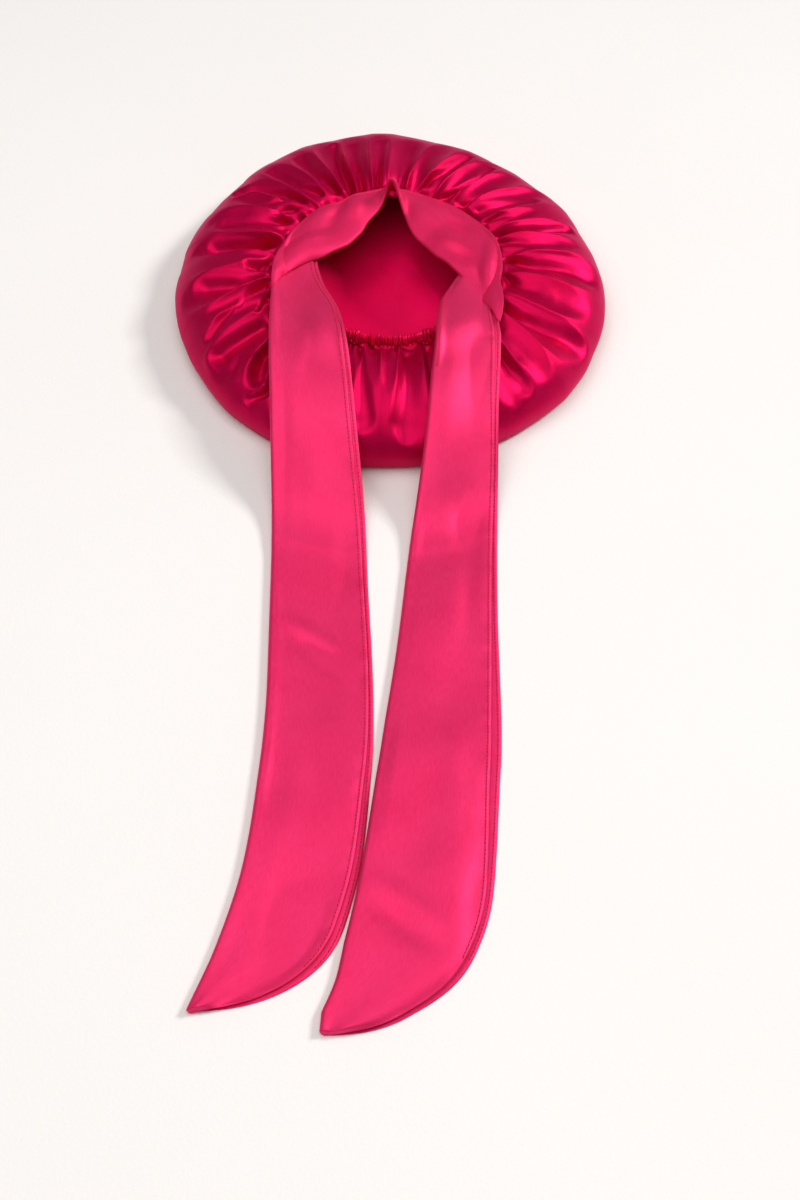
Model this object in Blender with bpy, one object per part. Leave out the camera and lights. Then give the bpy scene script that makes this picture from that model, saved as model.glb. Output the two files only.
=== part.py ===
"""Satin sleep bonnet with a front band and two long ties, lying with its opening up.

The frame is in metres: +Z up, the origin at the centre of the crown's flat base, the ties
towards -Y. Angles run round the opening in degrees: 0 points towards the ties (-Y), 90 to
-X, 180 away from the ties and 270 to +X. The tables hold shares of the named sizes, and a
column that holds an angle says so in its name.
"""

import math
from collections import namedtuple

import bpy
from mathutils import Vector

# Driving dimensions of the crown
CROWN_WIDTH = 0.356  # across, left to right, at the outer fold
CROWN_DEPTH = 0.372  # across, front to back, at the outer fold
PUFF_HEIGHT = 0.056  # highest crest of the gathers above the surface it lies on
CLOTH = 0.0012  # wall of one layer of satin
FOLD_DEPTH = 0.0125  # how far the deepest gather sinks between its two crests
BOWL = 0.34  # share of the way out that a gather's rounded end takes
PLEAT_AT_RIM = 0.30  # share of a gather's depth that is left at the opening's edge

# Driving dimensions of the opening
OPENING_WIDTH = 0.172
OPENING_DEPTH = 0.168
OPENING_SHIFT = -0.007  # the opening's centre, in front of the crown's centre
NAPE_DROP = 0.006  # how much lower the opening's edge lies at the elastic

# Driving dimensions of the elastic casing at the nape
CASING_HEIGHT = 0.0105
CASING_THICK = 0.006
CASING_SPAN = 27.0  # degrees to each side of the middle
RUCHES = 28  # small pleats that the elastic draws up
RUCHE_DEPTH = 0.16  # share of the casing's section that a pleat sinks

# Driving dimensions of the band and the ties, one doubled strip of satin
STRIP_WIDTH = 0.072  # width of the doubled strip
LEFT_REACH = 0.611  # from the left tie's start, beneath the band, to its tip
RIGHT_REACH = 0.609
LEFT_START = 0.002  # where the left tie starts, behind the opening's centre
RIGHT_START = -0.014
LEFT_ROUND = 0.060  # length of the rounded corner at the left tie's end
RIGHT_ROUND = 0.100
TIE_LAYER = 0.001  # wall of one layer of the strip
HEM_SLIT = 0.0006  # air between the two layers at the hems
FOLD_SLIT = 0.0035  # air between the two layers at the folded edge, which isn't pressed flat
HEM_STEP = 0.006  # how far the lower layer's hem stands out past the upper one's
TIE_FALL = 0.062  # length over which a tie comes down past the crown to the surface
BAND_THICK = 0.0022
BAND_PUFF = 0.005  # how far the middle of the band stands over its two edges
SEAT_GAP = 0.0008  # between pieces that lie on each other

TIP_SQUARENESS = 2.4  # of a tie's rounded corner: 2 is a quarter of an ellipse
TIP_WIDTH = 0.05  # share of a tie's width that is left at its tip
ROLL_SHARE = 0.6  # share of a tie's width over which the air at its fold closes
RAISED_SHARE = 0.46  # share of a tie's reach that lies on the crown or comes down from it

# Mesh steps
ACROSS_GATHER = 4
BAND_COLUMNS = 6
TIE_COLUMNS = 5
RAISED_STATIONS = 17  # of a tie, over the crown and down to the surface
FLAT_STATIONS = 5
ROUND_STATIONS = 7

# Shares of the crown's radius: where the outer fold stands out of its ellipse or inside it
Outline = namedtuple("Outline", "angle share")
OUTLINE = (
    Outline(0, 1.000),
    Outline(30, 1.010),
    Outline(60, 0.995),
    Outline(90, 0.990),
    Outline(120, 0.985),
    Outline(150, 1.005),
    Outline(165, 1.010),
    Outline(180, 0.990),
    Outline(200, 0.960),
    Outline(225, 0.955),
    Outline(250, 0.970),
    Outline(270, 1.000),
    Outline(300, 0.998),
    Outline(330, 0.990),
)

# The crown's section over the crests: shares of the way from the opening's edge to the
# outer fold, and shares of the puff height. The last two rows turn under to the flat base.
Section = namedtuple("Section", "across height")
SECTIONS = (
    Section(0.00, 0.84),
    Section(0.08, 0.93),
    Section(0.22, 1.00),
    Section(0.40, 0.98),
    Section(0.58, 0.90),
    Section(0.74, 0.79),
    Section(0.87, 0.63),
    Section(0.96, 0.45),
    Section(1.00, 0.28),
    Section(0.98, 0.09),
    Section(0.93, 0.00),
)
TOP_SECTIONS = SECTIONS[:9]

# The gathers. Each row is a crest, by its angle at the opening and at the outer fold, and
# the hollow between it and the next crest: how far out it reaches, and its depth.
Gather = namedtuple("Gather", "rim_angle edge_angle reach depth")
GATHERS = (
    Gather(4, 2, 0.60, 0.35),
    Gather(12, 9, 0.80, 0.70),
    Gather(20, 16, 0.84, 0.70),
    Gather(31, 25, 0.88, 0.80),
    Gather(42, 36, 0.90, 0.90),
    Gather(53, 45, 0.97, 0.95),
    Gather(60, 61, 0.60, 0.35),
    Gather(69, 67, 0.78, 0.80),
    Gather(78, 73, 0.95, 1.00),
    Gather(87, 88, 0.40, 0.50),
    Gather(96, 96, 0.90, 1.00),
    Gather(105, 104, 0.84, 0.90),
    Gather(121, 117, 0.76, 0.60),
    Gather(128, 125, 0.76, 0.60),
    Gather(137, 135, 0.82, 0.60),
    Gather(146, 144, 0.82, 0.70),
    Gather(154, 155, 0.82, 0.70),
    Gather(162, 164, 0.82, 0.70),
    Gather(170, 174, 0.78, 0.60),
    Gather(178, 182, 0.78, 0.65),
    Gather(188, 194, 0.80, 0.60),
    Gather(196, 205, 0.78, 0.65),
    Gather(205, 212, 0.82, 0.65),
    Gather(214, 221, 0.82, 0.60),
    Gather(223, 230, 0.88, 0.85),
    Gather(239, 239, 0.60, 0.45),
    Gather(247, 246, 0.86, 0.70),
    Gather(254, 256, 0.82, 0.60),
    Gather(265, 264, 0.95, 1.00),
    Gather(276, 279, 0.88, 0.85),
    Gather(292, 290, 0.97, 1.00),
    Gather(303, 308, 0.90, 0.70),
    Gather(315, 319, 0.95, 0.80),
    Gather(326, 329, 0.90, 0.70),
    Gather(336, 338, 0.82, 0.60),
    Gather(345, 347, 0.97, 1.00),
    Gather(356, 357, 0.60, 0.40),
)

# The band round the opening, from its left turn to its right one. Angles and reaches, as
# shares of the opening's radius, place its sewn edge and its free edge; rise lifts the
# free edge, as a share of the strip's width, and over lifts the band onto a tie.
Fold = namedtuple("Fold", "sewn_angle sewn_reach free_angle free_reach rise over")
BAND = (
    Fold(77.5, 1.14, 77.0, 1.10, 0.00, 1.00),
    Fold(86, 1.09, 91.7, 0.77, 0.00, 1.00),
    Fold(99, 1.05, 99.8, 0.61, 0.00, 1.00),
    Fold(115, 1.03, 120, 0.49, 0.00, 0.35),
    Fold(132, 1.02, 144, 0.53, 0.00, 0.00),
    Fold(148, 1.02, 158, 0.64, 0.02, 0.00),
    Fold(163, 1.03, 172, 0.78, 0.05, 0.00),
    Fold(173, 1.04, 177.7, 0.87, 0.16, 0.00),
    Fold(180, 1.05, 181, 0.88, 0.34, 0.00),
    Fold(187, 1.04, 185, 0.81, 0.20, 0.00),
    Fold(199, 1.02, 192, 0.67, 0.05, 0.00),
    Fold(214, 1.01, 205, 0.50, 0.01, 0.00),
    Fold(231, 1.02, 225, 0.42, 0.00, 0.00),
    Fold(250, 1.04, 257, 0.44, 0.00, 0.50),
    Fold(266, 1.05, 276, 0.575, 0.00, 1.00),
    Fold(277, 1.06, 285.5, 0.70, 0.00, 1.00),
    Fold(288, 1.08, 296, 0.86, 0.00, 1.00),
    Fold(298, 1.18, 303, 1.07, 0.00, 1.00),
    Fold(311.6, 1.38, 311.3, 1.34, 0.00, 1.00),
)

# Each tie from the band to its tip: along, a share of the tie's reach; inner, where its
# inner edge lies, a share of the opening's width; width and slant, shares of the strip's
# width. The left tie's inner edge is its hems, measured from the opening's centre. The right
# tie's is its fold, measured from the left tie's inner edge. Slant is how much further back
# the hems lie than the fold.
Lay = namedtuple("Lay", "along inner width slant")
TIE_LEFT = (
    Lay(0.00, -0.352, 0.44, 0.32),
    Lay(0.04, -0.331, 0.50, 0.20),
    Lay(0.12, -0.222, 0.74, 0.05),
    Lay(0.25, -0.151, 0.85, 0.00),
    Lay(0.37, -0.109, 0.92, 0.00),
    Lay(0.55, -0.075, 0.97, 0.00),
    Lay(0.64, -0.063, 0.99, 0.00),
    Lay(0.72, -0.067, 1.01, 0.00),
    Lay(0.84, -0.105, 1.02, 0.00),
    Lay(0.93, -0.184, 1.02, 0.00),
    Lay(1.00, -0.276, 1.02, 0.02),
)
TIE_RIGHT = (
    Lay(0.00, 0.674, 0.42, -0.54),
    Lay(0.07, 0.490, 0.62, -0.32),
    Lay(0.14, 0.408, 0.67, -0.06),
    Lay(0.25, 0.318, 0.72, 0.00),
    Lay(0.37, 0.218, 0.84, 0.00),
    Lay(0.52, 0.134, 0.95, 0.00),
    Lay(0.66, 0.056, 1.09, 0.00),
    Lay(0.80, 0.023, 1.17, 0.00),
    Lay(0.90, 0.038, 1.22, 0.00),
    Lay(0.95, 0.062, 1.24, 0.00),
    Lay(1.00, 0.054, 1.25, 0.00),
)

SATIN_DEEP = (0.62, 0.004, 0.075, 1.0)
SATIN_PINK = (0.74, 0.02, 0.13, 1.0)


def curve(points, place, period=None):
    """The height at a place of one smooth curve through (place, height) points."""
    if period:
        first, last = points[0], points[-1]
        points = [(last[0] - period, last[1]), *points, (first[0] + period, first[1])]
        place = (place - first[0]) % period + first[0]
    place = min(max(place, points[0][0]), points[-1][0])
    left = max(i for i, point in enumerate(points[:-1]) if point[0] <= place)

    def slope(i):
        (x0, y0), (x1, y1) = points[max(i - 1, 0)], points[min(i + 1, len(points) - 1)]
        return (y1 - y0) / (x1 - x0)

    (x0, y0), (x1, y1) = points[left], points[left + 1]
    u = (place - x0) / (x1 - x0)
    rise0, rise1 = slope(left) * (x1 - x0), slope(left + 1) * (x1 - x0)
    return (
        (2 * u**3 - 3 * u**2 + 1) * y0
        + (u**3 - 2 * u**2 + u) * rise0
        + (3 * u**2 - 2 * u**3) * y1
        + (u**3 - u**2) * rise1
    )


def column(rows, place_name, name):
    """Points for curve, from two columns of a table."""
    return [(getattr(row, place_name), getattr(row, name)) for row in rows]


def mix(a, b, share):
    return a + (b - a) * share


def smoothstep(low, high, value):
    u = min(max((value - low) / (high - low), 0.0), 1.0)
    return u * u * (3 - 2 * u)


def direction(angle):
    turn = math.radians(angle)
    return -math.sin(turn), -math.cos(turn)


def rim_radius(angle):
    """From the opening's centre to its edge."""
    x, y = direction(angle)
    return 1 / math.hypot(x / (OPENING_WIDTH / 2), y / (OPENING_DEPTH / 2))


def outline_radius(angle):
    """From the opening's centre to the crown's outer fold, on an ellipse with other axes."""
    x, y = direction(angle)
    half_width, half_depth = CROWN_WIDTH / 2, CROWN_DEPTH / 2
    a = (x / half_width) ** 2 + (y / half_depth) ** 2
    b = OPENING_SHIFT * y / half_depth**2
    c = (OPENING_SHIFT / half_depth) ** 2 - 1
    return (-b + math.sqrt(b * b - a * c)) / a * curve(OUTLINE, angle, 360)


def nape_share(angle):
    """1 at the middle of the elastic, falling to 0 at the opening's two sides."""
    return max(0.0, math.cos(math.radians(angle))) ** 2


def crest_point(angle, section):
    """Radius and height of the crown over its crests, at one row of the section table."""
    radius = mix(rim_radius(angle), outline_radius(angle), section.across)
    dip = NAPE_DROP * nape_share(angle) * (1 - section.across) ** 2
    return radius, max(section.height * PUFF_HEIGHT - dip, 0.0)


def at_angle(angle, radius, height):
    x, y = direction(angle)
    return Vector((radius * x, OPENING_SHIFT + radius * y, height))


def hollow(gather, share, across):
    """How deep the hollow of a gather is, from 0 to 1, share of the way to the next crest."""
    end = min(max((across - gather.reach + BOWL) / BOWL, 0.0), 1.0)
    entry = mix(PLEAT_AT_RIM, 1.0, smoothstep(0.0, 0.3, across))
    return max(0.0, 1 - (2 * share - 1) ** 2 - end**2) * entry * gather.depth


def crown_columns():
    """For each column of the crown's mesh: its gather, the next one, and the share between."""
    for number, gather in enumerate(GATHERS):
        following = GATHERS[(number + 1) % len(GATHERS)]
        if number + 1 == len(GATHERS):
            following = following._replace(
                rim_angle=following.rim_angle + 360, edge_angle=following.edge_angle + 360
            )
        for step in range(ACROSS_GATHER):
            yield gather, following, step / ACROSS_GATHER


def crown_outer():
    """Rows of points of the crown's outer skin, from the opening's edge to the flat base."""
    rows = []
    for number, section in enumerate(SECTIONS):
        before, after = SECTIONS[max(number - 1, 0)], SECTIONS[min(number + 1, len(SECTIONS) - 1)]
        row = []
        for gather, following, share in crown_columns():
            start = mix(gather.rim_angle, gather.edge_angle, section.across)
            stop = mix(following.rim_angle, following.edge_angle, section.across)
            angle = mix(start, stop, share)
            radius, height = crest_point(angle, section)
            (r0, h0), (r1, h1) = crest_point(angle, before), crest_point(angle, after)
            run = math.hypot(r1 - r0, h1 - h0)
            depth = FOLD_DEPTH * hollow(gather, share, section.across) / run
            if number >= len(TOP_SECTIONS):
                depth = 0.0
            row.append(at_angle(angle, radius + depth * (h1 - h0), height - depth * (r1 - r0)))
        rows.append(row)
    return rows


def grid_normal(rows, i, j, closed):
    """Outward normal of a grid of points whose rows run round, by its neighbours."""
    up, down = rows[max(i - 1, 0)][j], rows[min(i + 1, len(rows) - 1)][j]
    count = len(rows[i])
    if closed:
        left, right = rows[i][j - 1], rows[i][(j + 1) % count]
    else:
        left, right = rows[i][max(j - 1, 0)], rows[i][min(j + 1, count - 1)]
    return (right - left).cross(down - up).normalized()


def crown_inner(outer):
    """The inner skin, one cloth thickness inside the outer one, with a flat base."""
    rows = []
    last = len(outer) - 1
    for i, row in enumerate(outer):
        inner = []
        for j, point in enumerate(row):
            inside = point - grid_normal(outer, i, j, True) * CLOTH
            if i == last:
                inside.z = CLOTH
            inner.append(inside)
        rows.append(inner)
    return rows


def new_object(name, points, faces, colour, roughness):
    mesh = bpy.data.meshes.new(name)
    mesh.from_pydata([tuple(p) for p in points], [], faces)
    mesh.validate()
    mesh.update()
    mesh.shade_smooth()
    mesh.set_sharp_from_angle(angle=math.radians(50))
    finish = bpy.data.materials.new(name)
    finish.use_nodes = True
    shader = finish.node_tree.nodes["Principled BSDF"]
    shader.inputs["Base Color"].default_value = colour
    shader.inputs["Roughness"].default_value = roughness
    shader.inputs["Sheen Weight"].default_value = 0.3
    mesh.materials.append(finish)
    piece = bpy.data.objects.new(name, mesh)
    bpy.context.scene.collection.objects.link(piece)
    return piece


def make_crown():
    """The gathered bag: one closed wall that turns in at the opening's edge."""
    outer = crown_outer()
    inner = crown_inner(outer)
    rows, count = len(outer), len(outer[0])
    points = [p for row in outer for p in row] + [p for row in inner for p in row]
    skin = rows * count

    def at(layer, i, j):
        return layer * skin + i * count + j % count

    faces = []
    for i in range(rows - 1):
        for j in range(count):
            faces.append((at(0, i, j), at(0, i, j + 1), at(0, i + 1, j + 1), at(0, i + 1, j)))
            faces.append((at(1, i, j), at(1, i + 1, j), at(1, i + 1, j + 1), at(1, i, j + 1)))
    for j in range(count):
        faces.append((at(0, 0, j + 1), at(0, 0, j), at(1, 0, j), at(1, 0, j + 1)))
    faces.append(tuple(at(0, rows - 1, j) for j in range(count)))
    faces.append(tuple(at(1, rows - 1, count - 1 - j) for j in range(count)))
    return new_object("crown", points, faces, SATIN_DEEP, 0.3)


def rim_height(angle):
    return crest_point(angle, SECTIONS[0])[1]


def casing_lift(angle, radius):
    """How much a strip has to rise to pass over the end of the elastic casing."""
    turn = abs((angle + 180) % 360 - 180)
    near = 1 - smoothstep(1.2 * CASING_SPAN, 2 * CASING_SPAN, turn)
    off = abs(radius - rim_radius(angle))
    beside = 1 - smoothstep(CASING_THICK, CASING_THICK + CASING_HEIGHT * 2, off)
    return (CASING_HEIGHT + SEAT_GAP) * near * beside


def support(x, y):
    """Height of what a strip lies on: crests, the opening as if lidded, the slope, the table."""
    radius = math.hypot(x, y - OPENING_SHIFT)
    angle = math.degrees(math.atan2(-x, OPENING_SHIFT - y))
    rim, outline = rim_radius(angle), outline_radius(angle)
    across = max((radius - rim) / (outline - rim), 0.0)
    leave = TOP_SECTIONS[5].across
    share = curve(TOP_SECTIONS, min(across, leave))
    dip = NAPE_DROP * nape_share(angle) * (1 - min(across, 1.0)) ** 2
    height = share * PUFF_HEIGHT - dip + casing_lift(angle, radius)
    past = radius - mix(rim, outline, leave)
    fall = (1 - leave) * (outline - rim) + TIE_FALL
    return height * (0.5 + 0.5 * math.cos(math.pi * min(max(past / fall, 0.0), 1.0)))


def make_casing():
    """The ruched tunnel that holds the elastic, standing on the opening's near edge."""
    sections = 2 * RUCHES + 1
    sides = 10
    points = []
    for i in range(sections):
        angle = mix(-CASING_SPAN, CASING_SPAN, i / (sections - 1))
        size = 1 - RUCHE_DEPTH * (i % 2)
        middle = rim_height(angle) + SEAT_GAP + CASING_HEIGHT / 2
        for k in range(sides):
            turn = 2 * math.pi * k / sides
            radius = rim_radius(angle) + size * CASING_THICK / 2 * math.cos(turn)
            points.append(at_angle(angle, radius, middle + size * CASING_HEIGHT / 2 * math.sin(turn)))
    faces = []
    for i in range(sections - 1):
        for k in range(sides):
            a, b = i * sides + k, i * sides + (k + 1) % sides
            faces.append((a, b, b + sides, a + sides))
    faces.append(tuple(reversed(range(sides))))
    faces.append(tuple(range((sections - 1) * sides, sections * sides)))
    return new_object("nape_elastic", points, faces, SATIN_DEEP, 0.35)


def band_point(number, share):
    """A point of the band's middle surface, from its sewn edge (share 0) to its free edge
    (share 1). The number is a row of the table, and may lie between two rows."""
    fold = Fold(*(curve(list(enumerate(values)), number) for values in zip(*BAND)))
    sewn = at_angle(fold.sewn_angle, rim_radius(fold.sewn_angle) * fold.sewn_reach, 0)
    free = at_angle(fold.free_angle, rim_radius(fold.free_angle) * fold.free_reach, 0)
    tie = 2 * TIE_LAYER + HEM_SLIT + 2 * SEAT_GAP
    lift = SEAT_GAP + BAND_THICK / 2 + min(max(fold.over, 0.0), 1.0) * tie
    narrow = min((free - sewn).length / (STRIP_WIDTH / 2), 1.0)
    puff = BAND_PUFF * narrow * 4 * share * (1 - share)
    point = sewn.lerp(free, share)
    point.z = support(point.x, point.y) + lift + puff + STRIP_WIDTH * fold.rise * share**1.5
    return point


def close_sheet(name, top, bottom, colour, roughness):
    """One solid between two grids of points with the same rows and columns."""
    rows, count = len(top), len(top[0])
    points = [p for row in top for p in row] + [p for row in bottom for p in row]
    skin = rows * count
    faces = []
    for i in range(rows - 1):
        for j in range(count - 1):
            a, b = i * count + j, i * count + j + 1
            c, d = b + count, a + count
            faces.append((a, b, c, d))
            faces.append((a + skin, d + skin, c + skin, b + skin))
    border = list(range(count))
    border += [i * count + count - 1 for i in range(1, rows)]
    border += [(rows - 1) * count + j for j in range(count - 2, -1, -1)]
    border += [i * count for i in range(rows - 2, 0, -1)]
    for a, b in zip(border, border[1:] + border[:1]):
        faces.append((b, a, a + skin, b + skin))
    return new_object(name, points, faces, colour, roughness)


def make_band():
    """The doubled strip round the front of the opening, folded in over it."""
    middle = [
        [band_point(i / 2, j / (BAND_COLUMNS - 1)) for j in range(BAND_COLUMNS)]
        for i in range(2 * len(BAND) - 1)
    ]
    top, bottom = [], []
    for i, row in enumerate(middle):
        normals = [grid_normal(middle, i, j, False) for j in range(len(row))]
        normals = [n if n.z > 0 else -n for n in normals]
        top.append([p + n * BAND_THICK / 2 for p, n in zip(row, normals)])
        bottom.append([p - n * BAND_THICK / 2 for p, n in zip(row, normals)])
    return close_sheet("front_band", top, bottom, SATIN_PINK, 0.4)


def left_inner_edge(y):
    """Where the left tie's hems lie sideways, before its rounded end takes them in."""
    along = (OPENING_SHIFT + LEFT_START - y) / LEFT_REACH
    return OPENING_WIDTH * curve(column(TIE_LEFT, "along", "inner"), along)


def tie_stations(rows, start, reach, rounded):
    """For each station of a tie: its share of the reach, its folded edge and the way from
    there to its hems."""
    corner = 1 - rounded / reach
    shares = [RAISED_SHARE * i / RAISED_STATIONS for i in range(RAISED_STATIONS)]
    shares += [mix(RAISED_SHARE, corner, i / FLAT_STATIONS) for i in range(FLAT_STATIONS)]
    for k in range(ROUND_STATIONS + 1):
        shares.append(mix(corner, 1.0, math.sin(math.pi / 2 * k / ROUND_STATIONS)))
    for along in shares:
        y = OPENING_SHIFT + start - along * reach
        full = STRIP_WIDTH * curve(column(rows, "along", "width"), along)
        slant = STRIP_WIDTH * curve(column(rows, "along", "slant"), along)
        fold = left_inner_edge(y)
        if rows is TIE_LEFT:
            fold -= full
        else:
            fold += OPENING_WIDTH * curve(column(rows, "along", "inner"), along)
        past = max(along - corner, 0.0) / (1 - corner)
        left = max((1 - past**TIP_SQUARENESS) ** (1 / TIP_SQUARENESS), TIP_WIDTH)
        yield along, Vector((fold, y, 0)), Vector((full * left, slant, 0))


def hairpin(line, normals, air):
    """One ring round the folded strip: over its upper layer, round its folded edge, under its
    lower layer to the hem, and back through the air between the two layers."""
    across = line[-1] - line[0]
    size = min(1.0, across.length / (5 * (TIE_LAYER + air / 2)))
    step = min(HEM_STEP, across.length / 5)
    across.normalize()
    roll = size * (TIE_LAYER + air / 2)
    start = line[0] + across * roll
    lower = [start, *line[1:]]
    upper = [start, *line[1:-1], line[-1] - across * step]

    def raised(points, layers, slit):
        found = []
        for j, (point, normal) in enumerate(zip(points, normals)):
            gap = mix(air, HEM_SLIT, smoothstep(0.0, ROLL_SHARE, j / (TIE_COLUMNS - 1)))
            found.append(point + normal * size * (layers * TIE_LAYER + slit * gap))
        return found

    def bend(radius):
        centre = start + normals[0] * roll
        turns = (math.pi / 4, math.pi / 2, 3 * math.pi / 4)
        return [
            centre + (normals[0] * math.cos(turn) - across * math.sin(turn)) * radius
            for turn in turns
        ]

    outer = [*reversed(raised(upper, 2, 1)), *bend(roll), *lower]
    inner = [*reversed(raised(lower, 1, 0)), *reversed(bend(roll - size * TIE_LAYER))]
    return [*outer, *inner, *raised(upper, 1, 1)]


def make_tie(name, rows, start, reach, rounded):
    """A free end of the strip, folded lengthwise, with its two hems one beside the other."""
    stations = list(tie_stations(rows, start, reach, rounded))
    base = []
    for _, fold, across in stations:
        line = [fold + across * (j / (TIE_COLUMNS - 1)) for j in range(TIE_COLUMNS)]
        for point in line:
            point.z = support(point.x, point.y)
            point.z += SEAT_GAP * smoothstep(0.0, SEAT_GAP, point.z)
        base.append(line)
    points = []
    for i, (along, _, _) in enumerate(stations):
        normals = [-grid_normal(base, i, j, False) for j in range(TIE_COLUMNS)]
        air = mix(HEM_SLIT, FOLD_SLIT, smoothstep(0.02, 0.2, along))
        points += hairpin(base[i], normals, air)
    ring = len(points) // len(stations)
    faces = []
    for first in range(0, len(points) - ring, ring):
        for k in range(ring):
            a, b = first + k, first + (k + 1) % ring
            faces.append((a, b, b + ring, a + ring))
    for k in range(ring // 2 - 1):
        across = (ring - 1 - k, ring - 2 - k, k + 1, k)
        faces.append(across)
        faces.append(tuple(len(points) - ring + corner for corner in reversed(across)))
    return new_object(name, points, faces, SATIN_PINK, 0.4)


def build():
    for old in list(bpy.data.objects):
        bpy.data.objects.remove(old)
    make_crown()
    make_casing()
    make_band()
    make_tie("tie_left", TIE_LEFT, LEFT_START, LEFT_REACH, LEFT_ROUND)
    make_tie("tie_right", TIE_RIGHT, RIGHT_START, RIGHT_REACH, RIGHT_ROUND)


build()
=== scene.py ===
"""Satin sleep bonnet, lying on a pale table with its opening up and its two ties towards the
camera. Metres; +Z up; the origin is the centre of the crown's flat base. Angles go round the
opening in degrees: 0 towards the ties (-Y), 90 to -X, 180 away from the ties, 270 to +X.
"""

import math
from collections import namedtuple

import bpy
import numpy as np
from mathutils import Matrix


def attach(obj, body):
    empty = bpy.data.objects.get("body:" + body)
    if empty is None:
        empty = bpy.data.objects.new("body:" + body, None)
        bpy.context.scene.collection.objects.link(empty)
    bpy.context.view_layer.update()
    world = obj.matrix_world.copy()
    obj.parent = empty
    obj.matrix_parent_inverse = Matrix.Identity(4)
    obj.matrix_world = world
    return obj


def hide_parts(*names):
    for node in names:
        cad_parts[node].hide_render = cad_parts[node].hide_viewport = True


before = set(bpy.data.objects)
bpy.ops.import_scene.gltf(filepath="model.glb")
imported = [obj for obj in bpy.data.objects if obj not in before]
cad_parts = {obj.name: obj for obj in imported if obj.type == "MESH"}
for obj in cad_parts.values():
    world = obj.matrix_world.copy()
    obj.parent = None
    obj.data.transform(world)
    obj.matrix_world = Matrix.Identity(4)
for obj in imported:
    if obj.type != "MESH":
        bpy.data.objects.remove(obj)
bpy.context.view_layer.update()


# The crown

# A round of thin glossy crimson satin, over half a metre across, whose edge is gathered to
# the opening. It lies on its back: the gathers fan out over the puffed upper side to a soft
# outer fold, and the lower side lies flat on the table and shows through the opening.

# The crown and its opening, which lies towards the ties and drops at the nape; the deepest
# gather, the round end of its hollow, and the share of its depth that starts at the rim.
CROWN_WIDTH = 0.356
CROWN_DEPTH = 0.372
PUFF_HEIGHT = 0.056
OPENING_WIDTH = 0.172
OPENING_DEPTH = 0.168
OPENING_SHIFT = -0.007
NAPE_DROP = 0.006
FOLD_DEPTH = 0.0135
BOWL = 0.34
PLEAT_AT_RIM = 0.45

# The flat cloth's way round, and the middle of the base, where all its rows end.
CLOTH_GIRTH = 1.20
CLOTH_MIDDLE = (0.0, 0.0, 0.002)

# The mesh: columns across a gather, how much they crowd towards its crest, and rows on the
# upper side, round the outer fold and on the flat base.
ACROSS_GATHER = 18
CREST_CROWDING = 0.55
TOP_ROWS, SIDE_ROWS, BASE_ROWS = 84, 14, 11

# Shares of the crown's own oval, by angle, where its outer fold stands out of it or inside.
OUTLINE = (
    (0, 1.000),
    (30, 1.010),
    (60, 0.995),
    (90, 0.990),
    (120, 0.985),
    (150, 1.005),
    (165, 1.010),
    (180, 0.990),
    (200, 0.960),
    (225, 0.955),
    (250, 0.970),
    (270, 1.000),
    (300, 0.998),
    (330, 0.990),
)

# The crown's section over the crests, from the opening's edge over the outer fold to the
# base: shares of the way out, and shares of the puff height.
Section = namedtuple("Section", "across height")
SECTIONS = (
    Section(0.00, 0.84),
    Section(0.08, 0.93),
    Section(0.22, 1.00),
    Section(0.40, 0.98),
    Section(0.58, 0.90),
    Section(0.74, 0.79),
    Section(0.87, 0.63),
    Section(0.96, 0.45),
    Section(1.00, 0.28),
    Section(0.98, 0.09),
    Section(0.93, 0.00),
)
TOP_SECTIONS = SECTIONS[:9]

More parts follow.
